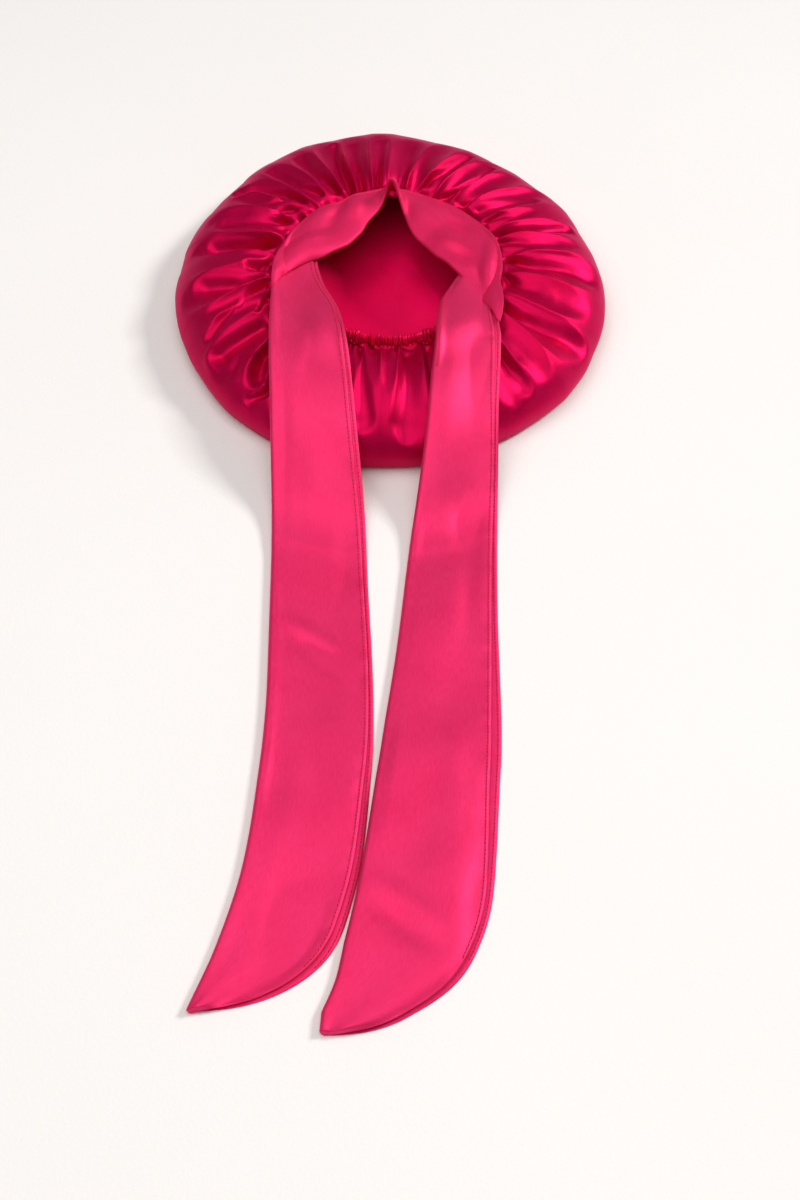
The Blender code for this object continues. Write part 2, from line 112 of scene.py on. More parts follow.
# A crest by its angle at the opening, half-way out and at the outer fold, and the hollow
# between it and the next crest: its reach, its depth, and where across it lies deepest.
Gather = namedtuple("Gather", "rim_angle mid_angle edge_angle reach depth lean")
GATHERS = (
    Gather(4, 3, 2, 0.60, 0.35, 0.50),
    Gather(12, 11, 9, 0.80, 0.70, 0.45),
    Gather(20, 18, 16, 0.84, 0.70, 0.55),
    Gather(31, 28, 25, 0.88, 0.80, 0.50),
    Gather(42, 39, 36, 0.90, 0.90, 0.55),
    Gather(53, 48, 45, 0.97, 0.95, 0.45),
    Gather(60, 61, 61, 0.60, 0.35, 0.50),
    Gather(69, 68, 67, 0.78, 0.80, 0.55),
    Gather(78, 75, 73, 0.95, 1.00, 0.45),
    Gather(87, 88, 88, 0.40, 0.50, 0.50),
    Gather(96, 96, 96, 0.90, 1.00, 0.40),
    Gather(105, 105, 104, 0.84, 0.90, 0.50),
    Gather(121, 119, 117, 0.76, 0.60, 0.55),
    Gather(128, 127, 125, 0.76, 0.60, 0.50),
    Gather(137, 136, 135, 0.82, 0.60, 0.45),
    Gather(146, 145, 144, 0.82, 0.70, 0.55),
    Gather(154, 154, 155, 0.82, 0.70, 0.50),
    Gather(162, 163, 164, 0.82, 0.70, 0.45),
    Gather(170, 172, 174, 0.78, 0.60, 0.50),
    Gather(178, 180, 182, 0.78, 0.65, 0.55),
    Gather(188, 191, 194, 0.80, 0.60, 0.45),
    Gather(196, 201, 205, 0.78, 0.65, 0.50),
    Gather(205, 208, 212, 0.82, 0.65, 0.50),
    Gather(214, 217, 221, 0.82, 0.60, 0.45),
    Gather(223, 227, 230, 0.88, 0.85, 0.40),
    Gather(239, 239, 239, 0.60, 0.45, 0.50),
    Gather(247, 246, 246, 0.86, 0.70, 0.50),
    Gather(254, 255, 256, 0.82, 0.60, 0.50),
    Gather(265, 264, 264, 0.95, 1.00, 0.40),
    Gather(276, 278, 279, 0.88, 0.85, 0.50),
    Gather(292, 293, 290, 0.97, 1.00, 0.45),
    Gather(303, 306, 308, 0.90, 0.70, 0.50),
    Gather(315, 317, 319, 0.95, 0.80, 0.50),
    Gather(326, 328, 329, 0.90, 0.70, 0.50),
    Gather(336, 337, 338, 0.82, 0.60, 0.50),
    Gather(345, 346, 347, 0.97, 1.00, 0.55),
    Gather(356, 357, 357, 0.60, 0.40, 0.50),
)

# The hollows that show most, each a line of places in millimetres from the opening's edge
# outwards, its half-width at its two ends, and its depth.
Hollow = namedtuple("Hollow", "line near_width far_width depth")
HOLLOWS = (
    # away from the ties
    Hollow(((-11, 80), (-10, 110), (-7, 145)), 3.0, 5.0, 7),
    Hollow(((-22, 79), (-29, 110), (-33, 144)), 2.6, 5.4, 7),
    Hollow(((-32, 77), (-42, 106), (-50, 143)), 3.0, 6.0, 8),
    Hollow(((-44, 77), (-62, 99), (-78, 126)), 3.0, 7.2, 9),
    Hollow(((-58, 73), (-76, 83), (-102, 111)), 2.6, 5.4, 8),
    Hollow(((-71, 64), (-89, 76), (-117, 87), (-128, 88)), 2.6, 7.6, 10),
    Hollow(((-75, 55), (-90, 62), (-110, 58)), 2.0, 3.0, 5),
    Hollow(((-79, 51), (-88, 51), (-95, 48)), 2.4, 3.4, 6),
    # to the left
    Hollow(((-82, 42), (-106, 40), (-140, 44)), 2.6, 5.4, 8),
    Hollow(((-85, 34), (-94, 31), (-102, 29)), 2.0, 3.0, 5),
    Hollow(((-90, 18), (-113, 14), (-147, 19)), 2.6, 6.4, 11),
    Hollow(((-92, 10), (-100, 8), (-104, 6)), 2.0, 3.4, 6),
    Hollow(((-94, -5), (-104, -11), (-113, -11)), 3.0, 5.4, 8),
    Hollow(((-97, -21), (-120, -29), (-151, -27)), 3.0, 9.0, 12),
    Hollow(((-98, -33), (-110, -40), (-121, -55)), 2.8, 3.8, 9),
    Hollow(((-99, -39), (-105, -42), (-110, -43)), 2.0, 3.0, 6),
    Hollow(((-97, -52), (-101, -57), (-104, -64)), 2.4, 3.0, 8),
    Hollow(((-125, -56), (-135, -67), (-142, -78)), 3.0, 5.0, 4),
    Hollow(((-99, -75), (-114, -83), (-127, -91), (-135, -96)), 3.0, 7.6, 12),
    Hollow(((-100, -83), (-111, -90), (-119, -102), (-122, -113)), 2.4, 4.0, 6),
    Hollow(((-93, -95), (-101, -104), (-104, -117), (-104, -125)), 3.0, 6.8, 11),
    Hollow(((-90, -104), (-91, -116), (-94, -129)), 2.0, 3.0, 7),
    Hollow(((-87, -130), (-97, -137), (-108, -138)), 3.0, 4.0, 7),
    Hollow(((-87, -144), (-87, -153), (-87, -160)), 2.5, 3.0, 7),
    # to the right
    Hollow(((10, 82), (14, 109), (20, 142)), 2.0, 3.0, 6),
    Hollow(((22, 79), (33, 90), (47, 103), (68, 129)), 2.4, 3.0, 7),
    Hollow(((30, 85), (34, 90)), 3.6, 4.6, 7),
    Hollow(((42, 70), (58, 81), (74, 97), (87, 116)), 2.0, 4.0, 8),
    Hollow(((55, 62), (71, 69), (91, 85)), 1.8, 2.2, 5),
    Hollow(((73, 53), (93, 62), (122, 76)), 3.6, 6.4, 8),
    Hollow(((78, 40), (89, 43), (98, 46)), 2.4, 3.4, 5),
    Hollow(((89, 25), (107, 30), (132, 40), (149, 47)), 2.4, 5.8, 10),
    Hollow(((90, 15), (113, 13), (139, 17)), 3.0, 4.2, 5),
    Hollow(((92, -1), (121, -8), (148, -8), (162, -12)), 2.4, 8.4, 12),
    Hollow(((89, -4), (99, -10), (108, -15)), 2.0, 3.0, 5),
    Hollow(((89, -20), (104, -33), (126, -44)), 3.0, 6.2, 7),
    Hollow(((84, -52), (104, -68), (125, -77), (146, -82)), 3.0, 10.0, 13),
    Hollow(((86, -81), (92, -83)), 3.6, 3.6, 6),
    Hollow(((85, -99), (95, -119), (102, -128)), 4.0, 9.0, 9),
    # between the ties
    Hollow(((-36, -88), (-37, -106)), 1.8, 2.2, 4),
    Hollow(((-30, -92), (-30, -112), (-29, -130)), 2.0, 4.0, 4),
    Hollow(((-23, -94), (-22, -128), (-20, -165)), 2.4, 10.0, 5),
    Hollow(((-14, -92), (-13, -106)), 1.8, 2.2, 4),
    Hollow(((-8, -93), (-8, -100)), 1.6, 1.8, 3),
    Hollow(((-2, -92), (-2, -112)), 2.4, 4.0, 4),
    Hollow(((4, -93), (4, -101)), 1.6, 1.8, 3),
    Hollow(((11, -94), (14, -138), (13, -168)), 2.4, 13.0, 8),
    Hollow(((20, -93), (21, -103)), 1.6, 2.0, 3),
    Hollow(((28, -94), (31, -126), (33, -150)), 2.6, 7.0, 5),
    Hollow(((36, -90), (37, -104)), 1.8, 2.2, 4),
)

# What the two tables come to: the gathers' share of FOLD_DEPTH, the hollows' own scale, how
# they widen and how round their bottoms are, and the lip that stands up beside a hollow, so
# many half-widths from its middle.
GATHER_SHARE = 0.50
HOLLOW_SCALE = 1.3
HOLLOW_WIDENING = 0.8
HOLLOW_ROUNDNESS = 1.15
LIP = 0.10
LIP_AWAY, LIP_SPREAD = 1.15, 0.3
FAR_OFF = 9.0

# How much a hollow flattens towards its outer end: more where that end lies past the border
# on the far or the right side.
FADE_BORDER = 0.05
FADE_FAR = 0.58
FADE_NEAR = 0.30

# Random swells: a seed, a height, and how far a swell runs along and across the cloth, in
# grid steps. The pleats die away from the rim, each over its own share of the way out.
Swell = namedtuple("Swell", "seed height along across")
RIM_PLEATS = Swell(11, 0.0010, 36, 2.0)
FINE_PLEATS = Swell(12, 0.0026, 30, 2.8)
CROWN_SLACK = Swell(13, 0.0010, 20, 9)
RIM_REACH, FINE_REACH = 0.16, 0.32

# Soft folds of the base, which shows through the opening: three waves and their height.
Wave = namedtuple("Wave", "share x_turns y_turns start")
BASE_WAVES = (Wave(0.5, 62, 8, 0.4), Wave(0.3, 105, -31, 2.0), Wave(0.25, 22, 74, 1.0))
BASE_HEIGHT = 0.006
BASE_LEVEL = 0.35


def smooth_curve(points, place, period=None):
    """Heights at an array of places on one smooth curve through (place, height) points."""
    points, place = np.array(points, float), np.asarray(place, float)
    if period:
        turn = np.array([[period, 0.0]])
        points = np.concatenate([points[-1:] - turn, points, points[:1] + turn])
        place = (place - points[1, 0]) % period + points[1, 0]
    x, y = points.T
    last = len(x) - 1
    place = np.clip(place, x[0], x[-1])
    left = np.clip(np.searchsorted(x, place, "right") - 1, 0, last - 1)
    low, high = np.maximum(np.arange(last + 1) - 1, 0), np.minimum(np.arange(last + 1) + 1, last)
    slope = (y[high] - y[low]) / (x[high] - x[low])
    run = x[left + 1] - x[left]
    u = (place - x[left]) / run
    return (
        (2 * u**3 - 3 * u**2 + 1) * y[left]
        + (u**3 - 2 * u**2 + u) * slope[left] * run
        + (3 * u**2 - 2 * u**3) * y[left + 1]
        + (u**3 - u**2) * slope[left + 1] * run
    )


def smoothstep(low, high, value):
    u = np.clip((value - low) / (high - low), 0.0, 1.0)
    return u * u * (3 - 2 * u)


def rim_radius(angle):
    x, y = np.sin(np.radians(angle)), np.cos(np.radians(angle))
    return 1 / np.hypot(x / (OPENING_WIDTH / 2), y / (OPENING_DEPTH / 2))


def outline_radius(angle):
    x, y = -np.sin(np.radians(angle)), -np.cos(np.radians(angle))
    a = (x / (CROWN_WIDTH / 2)) ** 2 + (y / (CROWN_DEPTH / 2)) ** 2
    b = OPENING_SHIFT * y / (CROWN_DEPTH / 2) ** 2
    c = (OPENING_SHIFT / (CROWN_DEPTH / 2)) ** 2 - 1
    return (-b + np.sqrt(b * b - a * c)) / a * smooth_curve(OUTLINE, angle, 360)


def nape_share(angle):
    """1 at the middle of the elastic, falling to 0 at the opening's two sides."""
    return np.maximum(0.0, np.cos(np.radians(angle))) ** 2


def ripples(seed, shape, row_run, column_run):
    """Even random swells over a grid whose columns run round; the runs are in grid steps."""
    rows, columns = shape
    noise = np.random.default_rng(seed).standard_normal((2 * rows, columns))
    up = np.fft.fftfreq(2 * rows)[:, None] * row_run
    round_ = np.fft.fftfreq(columns)[None] * column_run
    soft = np.fft.ifft2(np.fft.fft2(noise) * np.exp(-2 * np.pi**2 * (up**2 + round_**2)))
    soft = soft.real[:rows]
    return soft / soft.std()


def swelling(swell, shape, first=0):
    """A random swell at its own height; first is added to its seed."""
    return ripples(first + swell.seed, shape, swell.along, swell.across) * swell.height


def hollow_depths(x, y):
    """How deep each place of the crown lies in its hollows, and how near a hollow's brink."""
    total, brink = np.zeros(x.shape), np.zeros(x.shape)
    for hollow in HOLLOWS:
        line = np.array(hollow.line, float) / 1000
        runs = np.linalg.norm(np.diff(line, axis=0), axis=1)
        starts = np.r_[0, np.cumsum(runs)]
        nearest = np.full(x.shape, FAR_OFF)
        fading = np.ones(x.shape)
        fade = FADE_FAR if line[-1].max() > FADE_BORDER else FADE_NEAR
        for k, run in enumerate(runs):
            (ax, ay), (bx, by) = line[k], line[k + 1]
            share = np.clip(((x - ax) * (bx - ax) + (y - ay) * (by - ay)) / run**2, 0, 1)
            away = np.hypot(x - ax - share * (bx - ax), y - ay - share * (by - ay))
            along = (starts[k] + share * run) / starts[-1]
            widened = (hollow.far_width - hollow.near_width) * along**HOLLOW_WIDENING
            share = away / ((hollow.near_width + widened) / 1000)
            fading = np.where(share < nearest, 1 - fade * along**2, fading)
            nearest = np.minimum(nearest, share)
        depth = HOLLOW_SCALE * hollow.depth / 1000 * fading
        total += (depth * np.maximum(0, 1 - nearest**2) ** HOLLOW_ROUNDNESS) ** 3
        beside = np.exp(-(((nearest - LIP_AWAY) / LIP_SPREAD) ** 2))
        brink = np.maximum(brink, depth * beside)
    return total ** (1 / 3), brink


def crown_grid():
    """Points of the crown's outer skin, row by row from the opening's edge to the middle of
    the flat base, and each point's place on the flat cloth."""
    starts = np.array([[g.rim_angle, g.mid_angle, g.edge_angle] for g in GATHERS], float)
    stops = np.roll(starts, -1, axis=0)
    stops[-1] += 360
    u = np.arange(ACROSS_GATHER) / ACROSS_GATHER
    crowded = u - CREST_CROWDING * np.sin(2 * np.pi * u) / (2 * np.pi)
    share = np.tile(crowded, len(GATHERS))
    owner = np.repeat(np.arange(len(GATHERS)), ACROSS_GATHER)
    angles = starts[owner] + (stops[owner] - starts[owner]) * share[:, None]
    reach, depth, lean = np.array([[g.reach, g.depth, g.lean] for g in GATHERS]).T
    shift = share ** (np.log(0.5) / np.log(lean[owner]))

    edge = len(TOP_SECTIONS) - 1
    steps = np.concatenate(
        [
            np.linspace(0, edge, TOP_ROWS, endpoint=False),
            np.linspace(edge, len(SECTIONS) - 1, SIDE_ROWS),
        ]
    )
    number = np.arange(len(SECTIONS))
    across = smooth_curve(list(zip(number, [s.across for s in SECTIONS])), steps)
    height = smooth_curve(list(zip(number, [s.height for s in SECTIONS])), steps)
    out = np.where(steps > edge, 1.0, across)[:, None]

    angle = (
        angles[:, 0] * (1 - out) * (1 - 2 * out)
        + angles[:, 1] * 4 * out * (1 - out)
        + angles[:, 2] * out * (2 * out - 1)
    )
    rim, outer = rim_radius(angle), outline_radius(angle)
    radius = rim + (outer - rim) * across[:, None]
    dip = NAPE_DROP * nape_share(angle) * (1 - np.minimum(across[:, None], 1)) ** 2
    rise = np.maximum(height[:, None] * PUFF_HEIGHT - dip, 0.0)

    end = np.clip((out - reach[owner] + BOWL) / BOWL, 0, 1)
    entry = PLEAT_AT_RIM + (1 - PLEAT_AT_RIM) * smoothstep(0.0, 0.25, out)
    bowl = np.maximum(0.0, 1 - (2 * shift - 1) ** 2 - end**2)
    turn = np.radians(angle)
    x0, y0 = -radius * np.sin(turn), OPENING_SHIFT - radius * np.cos(turn)
    deep, brink = hollow_depths(x0, y0)
    gathers = FOLD_DEPTH * depth[owner] * entry * bowl * GATHER_SHARE
    sink = (gathers**3 + (deep * smoothstep(-0.02, 0.1, out)) ** 3) ** (1 / 3)
    between_ties = (np.abs(x0) < 0.1) * (y0 < -0.06)
    sink = sink - LIP * brink * (smoothstep(0.10, 0.22, out) * (1 - between_ties))

    shape = angle.shape
    pleats = swelling(RIM_PLEATS, shape) * np.exp(-((out / RIM_REACH) ** 2))
    fine = smoothstep(0.02, 0.08, out) * np.exp(-((out / FINE_REACH) ** 2))
    pleats = pleats + swelling(FINE_PLEATS, shape) * fine
    slack = swelling(CROWN_SLACK, shape) * smoothstep(0.05, 0.4, out)
    stand = pleats + slack - sink
    for _ in range(2):
        stand = 0.25 * np.roll(stand, 1, 1) + 0.5 * stand + 0.25 * np.roll(stand, -1, 1)
    stand[1:-1] = 0.25 * stand[:-2] + 0.5 * stand[1:-1] + 0.25 * stand[2:]
    stand *= 1 - smoothstep(edge + 0.6, edge + 1.8, steps)[:, None]

    slope_r, slope_h = np.gradient(radius, axis=0), np.gradient(rise, axis=0)
    length = np.hypot(slope_r, slope_h) + 1e-9
    radius = radius - stand * slope_h / length
    rise = np.maximum(rise + stand * slope_r / length, 0.0)

    top = np.stack(
        [-radius * np.sin(turn), OPENING_SHIFT - radius * np.cos(turn), rise], axis=-1
    )
    shares = np.linspace(1, 0, BASE_ROWS + 1)[1:-1] ** 0.9
    base = top[-1][None] * shares[:, None, None]
    x, y = base[..., 0], base[..., 1]
    folds = sum(w.share * np.sin(w.x_turns * x + w.y_turns * y + w.start) for w in BASE_WAVES)
    inwards = smoothstep(0, 0.5, 1 - shares)[:, None]
    base[..., 2] = BASE_HEIGHT * np.maximum(folds + BASE_LEVEL, 0) * inwards
    grid = np.concatenate([top, base])
    walk = np.cumsum(np.r_[0, np.linalg.norm(np.diff(grid[:, 0], axis=0), axis=1)])
    return grid, walk


def cloth_mesh(name, grid, across, along, closed=False, pole=None):
    """A mesh over a grid of points. across and along place its columns and rows on the flat
    cloth, in metres; closed joins the last column to the first, and pole closes the end."""
    rows, columns = grid.shape[:2]
    points = grid.reshape(-1, 3)
    i, j = np.meshgrid(np.arange(rows - 1), np.arange(columns - (not closed)), indexing="ij")
    i, j = i.ravel(), j.ravel()
    k = (j + 1) % columns
    this_row, next_row = i * columns, (i + 1) * columns
    quads = np.stack([this_row + j, this_row + k, next_row + k, next_row + j], 1)
    corner_columns = np.stack([j, j + 1, j + 1, j], 1)
    corner_rows = np.stack([i, i, i + 1, i + 1], 1)
    faces = quads.tolist()
    places = [np.stack([across[corner_columns], along[corner_rows]], -1).reshape(-1, 2)]
    if pole is not None:
        points = np.concatenate([points, [pole]])
        j = np.arange(columns)
        last = (rows - 1) * columns
        fan = np.stack([last + j, last + (j + 1) % columns, np.full(columns, rows * columns)], 1)
        faces += fan.tolist()
        far = along[-1] + 0.01
        fan_places = np.stack(
            [
                np.stack([across[j], np.full(columns, along[-1])], -1),
                np.stack([across[j + 1], np.full(columns, along[-1])], -1),
                np.stack([across[j], np.full(columns, far)], -1),
            ],
            1,
        )
        places.append(fan_places.reshape(-1, 2))
    mesh = bpy.data.meshes.new(name)
    mesh.from_pydata(points.tolist(), [], faces)
    uv = mesh.uv_layers.new(name="cloth")
    uv.data.foreach_set("uv", np.concatenate(places).astype(np.float32).ravel())
    mesh.update()
    mesh.shade_smooth()
    piece = bpy.data.objects.new(name, mesh)
    bpy.context.scene.collection.objects.link(piece)
    return piece


class Thread:
    """A value or colour that runs from node to node through a finish."""

    def __init__(self, tree, socket=None):
        self.tree, self.socket = tree, socket

    def node(self, kind, settings, values, out=0):
        made = self.tree.nodes.new(kind)
        for name, value in settings.items():
            setattr(made, name, value)
        for key, value in values.items():
            if isinstance(value, Thread):
                self.tree.links.new(value.socket, made.inputs[key])
            else:
                made.inputs[key].default_value = value
        return Thread(self.tree, made.outputs[out])

    def maths(self, how, a, b=0.0):
        return self.node("ShaderNodeMath", {"operation": how}, {0: a, 1: b})

    def __add__(self, other):
        return self.maths("ADD", self, other)

    def __sub__(self, other):
        return self.maths("SUBTRACT", self, other)

    def __mul__(self, other):
        return self.maths("MULTIPLY", self, other)

    def __radd__(self, other):
        return self.maths("ADD", other, self)

    def __rsub__(self, other):
        return self.maths("SUBTRACT", other, self)

    def __rmul__(self, other):
        return self.maths("MULTIPLY", other, self)


# Satin: how it mirrors, the scales of its threads, slubs and cloudy patches, and its relief.
SATIN_IOR, SATIN_SPECULAR = 1.36, 0.4
THREADS = 700.0
SLUBS = (900.0, 160.0, 1.0)
CLOUDS = 26.0
WEAVE_DEPTH = 0.00012


def satin_finish(name, deep, pale_tone_and_sheen, bloom, roughness, gleam):
    """Woven satin with a fine weave: deep where the cloth faces you and paler where it turns
    away, which is a painted sheen, and paler in random slubs and clouds. bloom is the pink that
    its long floats throw back at a glancing angle."""
    finish = bpy.data.materials.new(name)
    finish.use_nodes = True
    tree = finish.node_tree
    shader = tree.nodes["Principled BSDF"]
    shader.inputs["IOR"].default_value = SATIN_IOR
    shader.inputs["Specular Tint"].default_value = bloom
    shader.inputs["Specular IOR Level"].default_value = SATIN_SPECULAR
    shader.inputs["Metallic"].default_value = gleam
    start = Thread(tree)
    place = start.node("ShaderNodeTexCoord", {}, {}, "Object")
    cloth = start.node("ShaderNodeUVMap", {"uv_map": "cloth"}, {})
    cloud = start.node("ShaderNodeTexNoise", {}, {"Vector": place, "Scale": CLOUDS, "Detail": 3.0})
    # Painted sheen: the base colour grows paler where the cloth turns away from the view.
    painted_sheen = start.node("ShaderNodeLayerWeight", {}, {"Blend": 0.4}, "Facing")
    drawn = start.node("ShaderNodeMapping", {}, {"Vector": cloth, "Scale": SLUBS})
    slubs = start.node("ShaderNodeTexNoise", {}, {"Vector": drawn, "Scale": 1.0, "Detail": 2.0})
    # The mix is partly painted sheen (facing) and partly the cloth's own random slubs and clouds.
    slub_tone_and_painted_sheen = painted_sheen * 0.3 + (cloud - 0.5) * 0.4 + (slubs - 0.5) * 0.5 + 0.15
    colour = start.node(
        "ShaderNodeMix", {"data_type": "RGBA"}, {0: slub_tone_and_painted_sheen, 6: deep, 7: pale_tone_and_sheen}, 2
    )
    warp, weft = (
        start.node(
            "ShaderNodeTexWave",
            {"bands_direction": way},
            {"Vector": cloth, "Scale": THREADS, "Distortion": 0.6, "Detail": 1.0},
        )
        for way in "XY"
    )
    rough = roughness + (slubs - 0.5) * 0.10 + (cloud - 0.5) * 0.08
    weave = warp * 0.5 + weft * 0.5 + slubs * 1.2
    bump = start.node(
        "ShaderNodeBump", {}, {"Strength": 0.35, "Distance": WEAVE_DEPTH, "Height": weave}
    )
    tree.links.new(colour.socket, shader.inputs["Base Color"])
    tree.links.new(rough.socket, shader.inputs["Roughness"])
    tree.links.new(bump.socket, shader.inputs["Normal"])
    return finish


grid, walk = crown_grid()
columns = grid.shape[1]
girth = np.linspace(0, CLOTH_GIRTH, columns + 1)
crown = cloth_mesh("crown_satin", grid, girth, walk, closed=True, pole=CLOTH_MIDDLE)
crown.data.materials.append(
    satin_finish(
        "crimson_satin",
        deep=(0.52, 0.0004, 0.042, 1),
        pale_tone_and_sheen=(0.74, 0.003, 0.135, 1),
        bloom=(1.0, 0.32, 0.66, 1),
        roughness=0.40,
        gleam=0.66,
    )
)
# Painted light: the same crimson satin with a much brighter colour, for the inside of the crown.
crown.data.materials.append(
    satin_finish(
        "crimson_inside_painted_light",
        deep=(0.95, 0.0012, 0.075, 1),
        pale_tone_and_sheen=(0.99, 0.004, 0.15, 1),
        bloom=(1.0, 0.25, 0.55, 1),
        roughness=0.45,
        gleam=0.10,
    )
)

# The lower side, which is seen through the opening, gets a brighter copy of the crimson satin:
# painted light inside the shaded crown.
painted_light_side = np.zeros(len(crown.data.polygons), int)
painted_light_side[(TOP_ROWS + SIDE_ROWS - 1) * columns :] = 1
crown.data.polygons.foreach_set("material_index", painted_light_side)
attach(crown, "root")
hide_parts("crown")


# The nape casing

# A narrow tunnel of the crown's own satin with an elastic band in it, along the opening's
# near edge. The elastic draws it up, so that it stands in close small ruches.

CASING_HEIGHT = 0.0105
CASING_THICK = 0.006
CASING_SPAN = 29.0
CASING_RUCHES = 13.0
RUCHE_DEPTH = 0.0033
RUCHE_WARP, RUCHE_LEAN, RUCHE_SHARPNESS = 0.10, 0.045, 0.8
CASING_POINTS = 120
CASING_SECTIONS = 560
CASING_SIDES = 28
SEAT_GAP = 0.0008


def rim_height(angle):
    """Height of the crown at the opening's edge."""
    return SECTIONS[0].height * PUFF_HEIGHT - NAPE_DROP * nape_share(angle)


def path_object(name, points):
    """A line of points that a tree of nodes follows."""
    mesh = bpy.data.meshes.new(name)
    mesh.from_pydata(np.asarray(points).tolist(), [(i, i + 1) for i in range(len(points) - 1)], [])
    piece = bpy.data.objects.new(name, mesh)
    bpy.context.scene.collection.objects.link(piece)
    return piece


class Pattern:
    """A tree of nodes that makes what repeats along a path."""

    def __init__(self, name, sizes):
        self.tree = bpy.data.node_groups.new(name, "GeometryNodeTree")
        sockets = self.tree.interface
        sockets.new_socket("Geometry", in_out="INPUT", socket_type="NodeSocketGeometry")
        self.keys = {}
        for size, kind in sizes.items():
            made = sockets.new_socket(size, in_out="INPUT", socket_type=kind)
            self.keys[size] = made.identifier
        sockets.new_socket("Geometry", in_out="OUTPUT", socket_type="NodeSocketGeometry")
        self.inputs = self.tree.nodes.new("NodeGroupInput")

    def size(self, name):
        return self.inputs.outputs[name]

    def node(self, kind, settings, values, out=0):
        made = self.tree.nodes.new(kind)
        for name, value in settings.items():
            setattr(made, name, value)
        for key, value in values.items():
            if isinstance(value, bpy.types.NodeSocket):
                self.tree.links.new(value, made.inputs[key])
            else:
                made.inputs[key].default_value = value
        return made.outputs[out]

    def maths(self, how, *values):
        return self.node("ShaderNodeMath", {"operation": how}, dict(enumerate(values)))

    def close(self, geometry, finish):
        real = self.node("GeometryNodeRealizeInstances", {}, {0: geometry})
        done = self.node("GeometryNodeSetMaterial", {}, {0: real, "Material": finish})
        end = self.tree.nodes.new("NodeGroupOutput")
        self.tree.links.new(done, end.inputs[0])

    def grow(self, name, path, values):
        """Run the tree on a path and keep the result as a plain mesh."""
        run = path.modifiers.new("pattern", "NODES")
        run.node_group = self.tree
        for size, value in values.items():
            run[self.keys[size]] = value
        graph = bpy.context.evaluated_depsgraph_get()
        mesh = bpy.data.meshes.new_from_object(path.evaluated_get(graph))
        path.modifiers.remove(run)
        bpy.data.objects.remove(path)
        mesh.name = name
        mesh.shade_smooth()
        piece = bpy.data.objects.new(name, mesh)
        bpy.context.scene.collection.objects.link(piece)
        return piece


# Painted light: the casing is the crown's own satin, given a brighter colour to lift it out of the
# shade it sits in.
casing_painted_light_finish = satin_finish(
    "casing_satin",
    deep=(0.78, 0.002, 0.065, 1),
    pale_tone_and_sheen=(0.98, 0.030, 0.19, 1),
    bloom=(1.0, 0.35, 0.62, 1),
    roughness=0.32,
    gleam=0.5,
)
turn = np.linspace(-CASING_SPAN, CASING_SPAN, CASING_POINTS)
middle = np.stack(
    [
        -rim_radius(turn) * np.sin(np.radians(turn)),
        OPENING_SHIFT - rim_radius(turn) * np.cos(np.radians(turn)),
        rim_height(turn) + SEAT_GAP + CASING_HEIGHT / 2,
    ],
    -1,
)
ruched = Pattern(
    "ruched_casing",
    {
        "Sections": "NodeSocketInt",
        "Sides": "NodeSocketInt",
        "Height": "NodeSocketFloat",
        "Thickness": "NodeSocketFloat",
        "Ruches": "NodeSocketFloat",
        "Depth": "NodeSocketFloat",
    },
)
line = ruched.node("GeometryNodeMeshToCurve", {}, {0: ruched.inputs.outputs[0]})
line = ruched.node(
    "GeometryNodeResampleCurve", {}, {"Curve": line, "Count": ruched.size("Sections")}
)
factor = ruched.node("GeometryNodeSplineParameter", {}, {}, "Factor")
capture = ruched.tree.nodes.new("GeometryNodeCaptureAttribute")
capture.domain = "POINT"
capture.capture_items.new("FLOAT", "Along")
ruched.tree.links.new(line, capture.inputs[0])
ruched.tree.links.new(factor, capture.inputs["Along"])
line, along = capture.outputs[0], capture.outputs["Along"]
ring = ruched.node(
    "GeometryNodeCurvePrimitiveCircle", {}, {"Resolution": ruched.size("Sides"), "Radius": 1.0}
)
half_height = ruched.maths("MULTIPLY", ruched.size("Height"), 0.5)
half_thick = ruched.maths("MULTIPLY", ruched.size("Thickness"), 0.5)
oval = ruched.node("ShaderNodeCombineXYZ", {}, {0: half_thick, 1: half_height, 2: 1.0})
ring = ruched.node("GeometryNodeTransform", {}, {"Geometry": ring, "Scale": oval})
tube = ruched.node(
    "GeometryNodeCurveToMesh", {}, {"Curve": line, "Profile Curve": ring, "Fill Caps": True}
)
position = ruched.node("GeometryNodeInputPosition", {}, {})
noise = ruched.node(
    "ShaderNodeTexNoise",
    {"noise_dimensions": "4D"},
    {"Vector": position, "W": 3.0, "Scale": 95.0, "Detail": 1.0},
)
slow = ruched.node(
    "ShaderNodeTexNoise", {"noise_dimensions": "1D"}, {"W": along, "Scale": 22.0, "Detail": 1.0}
)
warped = ruched.maths("MULTIPLY_ADD", slow, RUCHE_WARP, along)
leaned = ruched.maths("MULTIPLY_ADD", noise, RUCHE_LEAN, warped)
cycles = ruched.maths("MULTIPLY", leaned, ruched.size("Ruches"))
wave = ruched.maths("SINE", ruched.maths("MULTIPLY", cycles, 2 * math.pi))
fold = ruched.maths("POWER", ruched.maths("ABSOLUTE", wave), RUCHE_SHARPNESS)
sized = ruched.maths("MULTIPLY_ADD", noise, 1.4, 0.3)
push = ruched.maths("SUBTRACT", ruched.maths("MULTIPLY", fold, sized), 0.55)
push = ruched.maths("MULTIPLY", push, ruched.size("Depth"))
normal = ruched.node("GeometryNodeInputNormal", {}, {})
offset = ruched.node("ShaderNodeVectorMath", {"operation": "SCALE"}, {0: normal, "Scale": push})
tube = ruched.node("GeometryNodeSetPosition", {}, {"Geometry": tube, "Offset": offset})
ruched.close(tube, casing_painted_light_finish)
